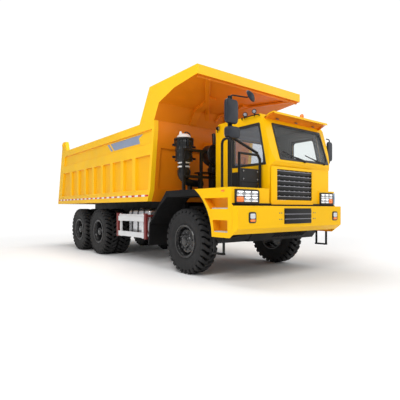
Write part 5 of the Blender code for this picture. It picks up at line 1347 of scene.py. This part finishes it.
mirrors = {"mast": (-1.38, -1.10), "mastTop": 3.44, "tall": (-1.400, 3.145, 0.305, 0.45),
           "wide": (-1.372, 2.76, 0.325, 0.22), "dish": (-0.86, 3.53, 0.128),
           "hoop": (-1.53, -1.27, -1.05, 2.63)}


def addMirrors():
    m = mirrors
    x, y = m["mast"][0], m["mast"][1] + shift
    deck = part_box("fender_right")[1].z
    dishX, dishZ, dishR = m["dish"]
    tubes = [tube([(x, y, deck + 0.002), (x, y, m["mastTop"])], 0.044, 18, up=(0, 1, 0)),
             tube(bentPath([(x, y, m["mastTop"] - 0.03), (x + 0.04, y, m["mastTop"] + 0.03),
                            (dishX - 0.09, y - 0.01, dishZ - 0.035), (dishX, y - 0.005, dishZ)], 0.05),
                  0.013, 10),
             tube([(x, y - 0.01, 2.70), (-0.70, y - 0.055, 2.44)], 0.027, 12),
             turned(lathe([(0, 0), (0, 0.055), (0.012, 0.055), (0.016, 0.034), (0.016, 0)], 24, "z"),
                    centre=(x, y, deck + 0.001))]
    hoopX, near, far, top = m["hoop"]
    tubes.append(tube(bentPath([(hoopX, near + shift, deck + 0.002), (hoopX, near + shift, top),
                                (hoopX, far + shift, top), (hoopX, far + shift, deck + 0.002)], 0.11, 7),
                      0.025, 12, up=(1, 0, 0)))
    tubes.append(tube([(x, y, 2.46), (hoopX, near + shift, 2.46)], 0.015, 10))
    for z in (2.74, 2.80, 3.05, 3.26):
        tubes.append(block((x - 0.035, y - 0.040, z - 0.018), (x + 0.035, y + 0.030, z + 0.018), 0.008))
    piece = addPiece("mirrorMast", joined(tubes), railBlack, "root", smooth=45)
    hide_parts("mirror_right")
    tall = housing(m["tall"][2], m["tall"][3], 0.075, (m["tall"][0], y - 0.018, m["tall"][1]))
    wide = housing(m["wide"][2], m["wide"][3], 0.120, (m["wide"][0], y + 0.005, m["wide"][1]), 4)
    dish = lathe([(0, 0), (0.0, dishR * 0.96), (0.010, dishR), (0.022, dishR * 0.97), (0.050, dishR * 0.66),
                  (0.070, dishR * 0.30), (0.075, 0)], 40, "y")
    dishTurned = turned((dish[0] * np.array([1, -1, 1]), dish[1]), (-24, 0, 18), (dishX, y - 0.010, dishZ))
    addPiece("mirrorHousings", joined([tall[0], wide[0], dishTurned]), mirrorGrey, "root",
             smooth=50)
    addPiece("mirrorGlasses", joined([tall[1], wide[1]]), mirrorGlass, "root", smooth=50)

    low, high = boxOf("mirror_left")
    outX = high[0] - 0.015
    bar = tube(bentPath([(low[0] + 0.004, high[1] - 0.03, low[2] + 0.02),
                         (outX - 0.05, high[1] - 0.03, low[2] + 0.02),
                         (outX - 0.05, high[1] - 0.03, high[2] - 0.02),
                         (low[0] + 0.004, high[1] - 0.03, high[2] - 0.02)], 0.06), 0.013, 10,
               up=(0, 1, 0))
    shell, glass = housing(0.175, 0.44, 0.045, (1.533, high[1] - 0.020, 2.665))
    shape, picks = grouped([bar], [shell], [glass])
    piece = addPiece("mirrorLeft", shape, [railBlack, mirrorGrey, mirrorGlass], "root",
                     picks=picks, smooth=45)
    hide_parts("mirror_left")


def addRails():
    # the rail frame keeps its CAD shape; its panel gets bolts
    low, high = boxOf("handrail_right")
    finished("handrail_right", "handrailFrame", railBlack, 0.012, segments=3)
    bolt = turned(hexBolt(0.013, 0.010, "y"), (0, 0, 180))
    spots = [(x, low[1] + 0.006, z) for x in (low[0] + 0.12, high[0] - 0.12) for z in (1.92, 2.07)]
    addPiece("railBolts", repeated(bolt, spots), boltSteel, "root")
    # the hanging step under the right fender: two bars, a rung and its turned feet
    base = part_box("fender_right")[0]
    stepLow, stepHigh = boxOf("step_left")
    for side, sign in (("Right", -1), ("Left", 1)):
        x = sign * (stepLow[0] + stepHigh[0]) / 2
        bars = [block((x - 0.016, y - 0.022, stepLow[2]), (x + 0.016, y + 0.022, base.z + 0.004), 0.005)
                for y in (stepLow[1] + 0.02, stepHigh[1] - 0.02)]
        rung = block((x - 0.045, stepLow[1], stepLow[2]), (x + 0.030, stepHigh[1], stepLow[2] + 0.030),
                     0.006)
        teeth = repeated(lathe([(0, 0), (0, 0.010), (0.006, 0.007), (0.006, 0)], 10, "z"),
                         [(x + dx, y, stepLow[2] + 0.029)
                          for y in np.linspace(stepLow[1] + 0.03, stepHigh[1] - 0.03, 8)
                          for dx in (-0.025, 0.010)])
        step = addPiece("step" + side, joined([*bars, rung, teeth]), railBlack, "root")
        if side == "Left":
            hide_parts("step_left")
    # chequered plates on the floors of the footholds
    plates, studs = [], []
    for sign in (-1, 1):
        for back, front, z in ((-1.285, -0.86, 1.355), (-1.275, -0.925, 0.930)):
            if sign > 0 and z > 1.3:
                continue
            xIn, xOut = 1.456, 1.613
            plates.append(block((sign * xIn, back + shift, z + 0.002),
                                (sign * xOut, front + shift, z + 0.020), 0.004))
            grid = [(sign * gx, gy + shift, z + 0.019) for gx in np.linspace(xIn + 0.03, xOut - 0.03, 4)
                    for gy in np.linspace(back + 0.03, front - 0.03, 11)]
            studs.append(repeated(lathe([(0, 0), (0, 0.009), (0.004, 0.006), (0.005, 0)], 8, "z"), grid))
    addPiece("footPlates", joined(plates + studs), plateAluminium, "root")
    # small side markers on both fenders
    mark = facing(pillow(superellipse(0.09, 0.035, 3, 24), 0.012, 0.004, crown=0.003), (0, 0, 0))
    markers = [turned(mark, (0, 0, -90 if sign < 0 else 90), (sign * 1.606, -1.16 + shift, 1.685))
               for sign in (-1, 1)]
    addPiece("sideMarkers", joined(markers), lensAmber, "root")


def addArchLips():
    # the black splash plates between the front wheels and the frame: a sheet with shallow waves along
    # the truck
    linerFront, linerRear, linerLow, linerHigh = -4.16, -2.06, 0.90, 1.42
    along, up = np.meshgrid(np.linspace(linerFront, linerRear, 64), np.linspace(linerLow, linerHigh, 5),
                            indexing="ij")
    liners = []
    for sign in (-1, 1):
        wave = 0.004 * np.cos((along - linerFront) * 18)
        faceOut = np.stack([sign * (0.612 + wave), along, up], -1)
        faceIn = np.stack([np.full(along.shape, sign * 0.600), along, up], -1)
        rim = np.concatenate([faceOut, faceIn[:, ::-1]], 1)
        liners.append(gridShape(rim, closeColumns=True, capRows=True))
    addPiece("archLiners", joined(liners), guardPlastic, "root")
    for side, sign in (("right", -1), ("left", 1)):
        low = boxOf("mudguard_" + side)[0]
        outer = np.array([(0.70, 1.745), (1.02, 1.42), (1.42, 1.02), (1.46, 0.50)])
        face, radius, axleY, axleZ = sign * 1.598, 1.088, 0.25, 0.80  # the lip runs round the wheel's arch
        line = bentPath(np.stack([np.full(4, face), outer[:, 0] + shift, outer[:, 1] - 0.014], -1), 0.10)
        t = np.radians(np.linspace(206, 61, 30))
        arch = np.stack([np.full(30, face), axleY + radius * np.cos(t) + shift,
                         axleZ + radius * np.sin(t)], -1)
        arch = arch[arch[:, 2] > low[2] + 0.33]
        arch = arch[arch[:, 2] < 1.735]
        bead = superellipse(0.030, 0.026, 3, 10)
        addPiece("archLip" + side.capitalize(),
                 joined([swept(line, bead, up=(1, 0, 0)), swept(arch, bead, up=(1, 0, 0))]),
                 guardPlastic, "root")


addAirFilter()
addDrum()
addMirrors()
addRails()
addArchLips()
print("deck made")


def addBedTrim():
    face = abs(boxOf("bed_side_right")[0][0])
    tapes = [], []  # the red dashes and the white ones
    dash, front, rear, bottom, top = 0.165, 1.44, 7.90, 1.648, 1.690
    for sign in (-1, 1):
        for k in range(int((rear - front) / dash)):
            y = front + k * dash + shift
            tapes[k % 2].append(block((sign * (face - 0.002), y, bottom),
                                      (sign * (face + 0.0018), y + dash - 0.001, top), 0.0008, 2))
    shape, picks = grouped(*tapes)
    addPiece("sillTape", shape, [tapeRed, tapeWhite], "bed", picks=picks)
    pocket = face - 0.055
    stripes = []
    for sign in (-1, 1):
        long = [(1.78, 3.165), (1.99, 3.085), (1.93, 2.955), (3.36, 2.955), (3.60, 3.165)]
        short = [(3.68, 3.165), (3.44, 2.955), (3.56, 2.955), (3.80, 3.165)]
        for corners in (long, short):
            loop = roundedOutline(corners, 0.02, 3)
            rows = [np.stack([np.full(len(loop), sign * (pocket + d)), loop[:, 0] + shift, loop[:, 1]], -1)
                    for d in (-0.002, 0.002)]
            stripes.append(gridShape(np.stack(rows), closeColumns=True, capRows=True))
    addPiece("sideStripe", joined(stripes), stripeBlue, "bed")
    # the V of stiffeners under the canopy: channels swept along the sheet's underside, in an orange as
    # painted shade
    under = np.array([(1.08, 3.590), (0.99, 3.740), (0.66, 3.836), (0.38, 3.918), (-0.02, 3.962),
                      (-0.36, 3.998)])
    channels = []
    for sign in (-1, 1):
        x = sign * np.interp(under[:, 0], [-0.36, 1.08], [1.30, 0.14])
        path = np.stack([x, under[:, 0] + shift, under[:, 1] - 0.020], -1)
        channels.append(swept(path, superellipse(0.11, 0.050, 6, 16)))
    channels.append(swept([(-1.56, -0.345 + shift, 3.985), (1.56, -0.345 + shift, 3.985)],
                          superellipse(0.05, 0.05, 6, 16)))
    addPiece("canopyRibs", joined(channels), paintedShadeYellow, "bed")
    # welds where sides, wall and canopy meet, as thin beads
    beads = []
    for sign in (-1, 1):
        for deep, front, rear, z, radius in ((0.004, 1.20, 7.25, 3.395, 0.006),
                                             (0.001, 1.40, 7.86, 1.782, 0.005)):
            x = sign * (face - deep)
            beads.append(tube([(x, front + shift, z), (x, rear + shift, z)], radius, 6))
    addPiece("bedWelds", joined(beads), bedYellow, "bed")
    # hinge knobs at the top of the rear pillars
    gateY = 7.40 + shift
    knobs = []
    for sign in (-1, 1):
        knob = lathe([(-0.012, 0), (-0.012, 0.085), (0.010, 0.088), (0.020, 0.080), (0.022, 0.046),
                      (0.034, 0.044), (0.038, 0.034), (0.038, 0)], 36)
        knobs.append((knob[0] * np.array([sign, 1, 1]) + np.array([sign * face, gateY, 3.62]), knob[1]))
    addPiece("gateKnobs", joined(knobs), bedYellow, "bed")


def addTankTrim():
    # straps round the fuel tank: a flat band carried round its outline, then the filler cap
    low, high = boxOf("fuel_tank")
    finished("fuel_tank", "fuelTank", [tankAluminium, chassisBlack], 0.030, segments=4,
             chooser=lambda centres, normals: centres[:, 0] > -0.655)
    finished("hydraulic_tank", "hydraulicTank", chassisBlack, 0.024, segments=4)
    x0, x1, z0, z1 = low[0], -0.66, low[2], high[2]
    centre = np.array([(x0 + x1) / 2, 0, (z0 + z1) / 2])
    loop = superellipse(x1 - x0 + 0.014, z1 - z0 + 0.014, 14, 64)
    bands = []
    for y in np.linspace(low[1] + 0.24, high[1] - 0.24, 3):
        path = np.stack([loop[:, 0] + centre[0], np.full(64, y), loop[:, 1] + centre[2]], -1)
        bands.append(swept(path, superellipse(0.045, 0.010, 8, 8)[:, ::-1], closed=True, up=(0, 1, 0)))
    cap = lathe([(0, 0), (0, 0.062), (0.020, 0.062), (0.034, 0.055), (0.040, 0.040), (0.040, 0)], 32, "z")
    addPiece("tankStraps", joined(bands), gasketRubber, "root")
    addPiece("tankCap", turned(cap, centre=(centre[0] - 0.12, high[1] - 0.36, z1 - 0.002)), boltSteel,
             "root")
    for side in ("right", "left"):
        finished("side_guard_" + side, "sideGuard" + side.capitalize(), [guardWhite, postRed],
                 0.006, chooser=lambda centres, normals: np.abs(centres[:, 0]) < 1.486)
        low, high = boxOf("side_guard_" + side)
        sign = -1 if side == "right" else 1
        face = sign * max(abs(low[0]), abs(high[0]))
        posts = [block((face - sign * 0.055, y - 0.042, low[2] - 0.004),
                       (face + sign * 0.007, y + 0.042, high[2] + 0.004), 0.005)
                 for y in (low[1] + 0.042, high[1] - 0.042)]
        addPiece("guardPosts" + side.capitalize(), joined(posts), postRed, "root")


def addHoist():
    # each stage is a turned tube with a collar at its top and a closed foot, on the hoist's own upright axis
    low, high = boxOf("hoist_barrel")
    y = (low[1] + high[1]) / 2
    stages = [("hoist_barrel", 0.125, chassisBlack, "chassis_black"),
              ("hoist_stage_1", 0.106, rodChrome, "rod_chrome"),
              ("hoist_stage_2", 0.088, rodChrome, "rod_chrome"),
              ("hoist_stage_3", 0.070, rodChrome, "rod_chrome")]
    for node, radius, coat, slotName in stages:
        low, high = boxOf(node)
        top, foot = high[2], low[2] + (0.06 if node == "hoist_barrel" else 0.0)
        profile = [(foot, 0), (foot, radius - 0.003), (top - 0.050, radius - 0.003),
                   (top - 0.046, radius + 0.003), (top - 0.008, radius + 0.003),
                   (top - 0.002, radius - 0.004), (top - 0.002, radius - 0.016),
                   (top - 0.030, radius - 0.018), (top - 0.030, 0)]
        shapes = [lathe(profile, 56, "z")]
        if node == "hoist_barrel":
            shapes.append(turned(lathe([(-0.188, 0), (-0.188, 0.045), (0.188, 0.045), (0.188, 0)], 32),
                                 centre=(0, 0, 0.98)))
            shapes.append(lathe([(0.925, 0), (0.925, 0.075), (0.99, 0.100), (1.0, 0)], 40, "z"))
        name = "hoist" + node[5:].title().replace("_", "") + "Tube"
        piece = addPiece(name, turned(joined(shapes), centre=(0, y, 0)), coat,
                         frame["nodes"][node]["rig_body"], smooth=35)
        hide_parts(node)
    low, high = boxOf("hoist_rod")
    rod = lathe([(low[2], 0), (low[2], 0.048), (high[2] - 0.12, 0.048), (high[2] - 0.11, 0.040),
                 (high[2] - 0.10, 0)], 48, "z")
    eye = lathe([(-0.055, 0.026), (-0.058, 0.050), (-0.052, 0.057), (0.052, 0.057), (0.058, 0.050),
                 (0.055, 0.026), (-0.055, 0.026)], 40)
    shapes = [turned(rod, centre=(0, y, 0)), turned(eye, centre=(0, y, 2.90))]
    piece = addPiece("hoistRodTube", joined(shapes), rodChrome, "hoist_rod", smooth=35)
    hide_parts("hoist_rod")


addBedTrim()
addTankTrim()
addHoist()
print("load body made")
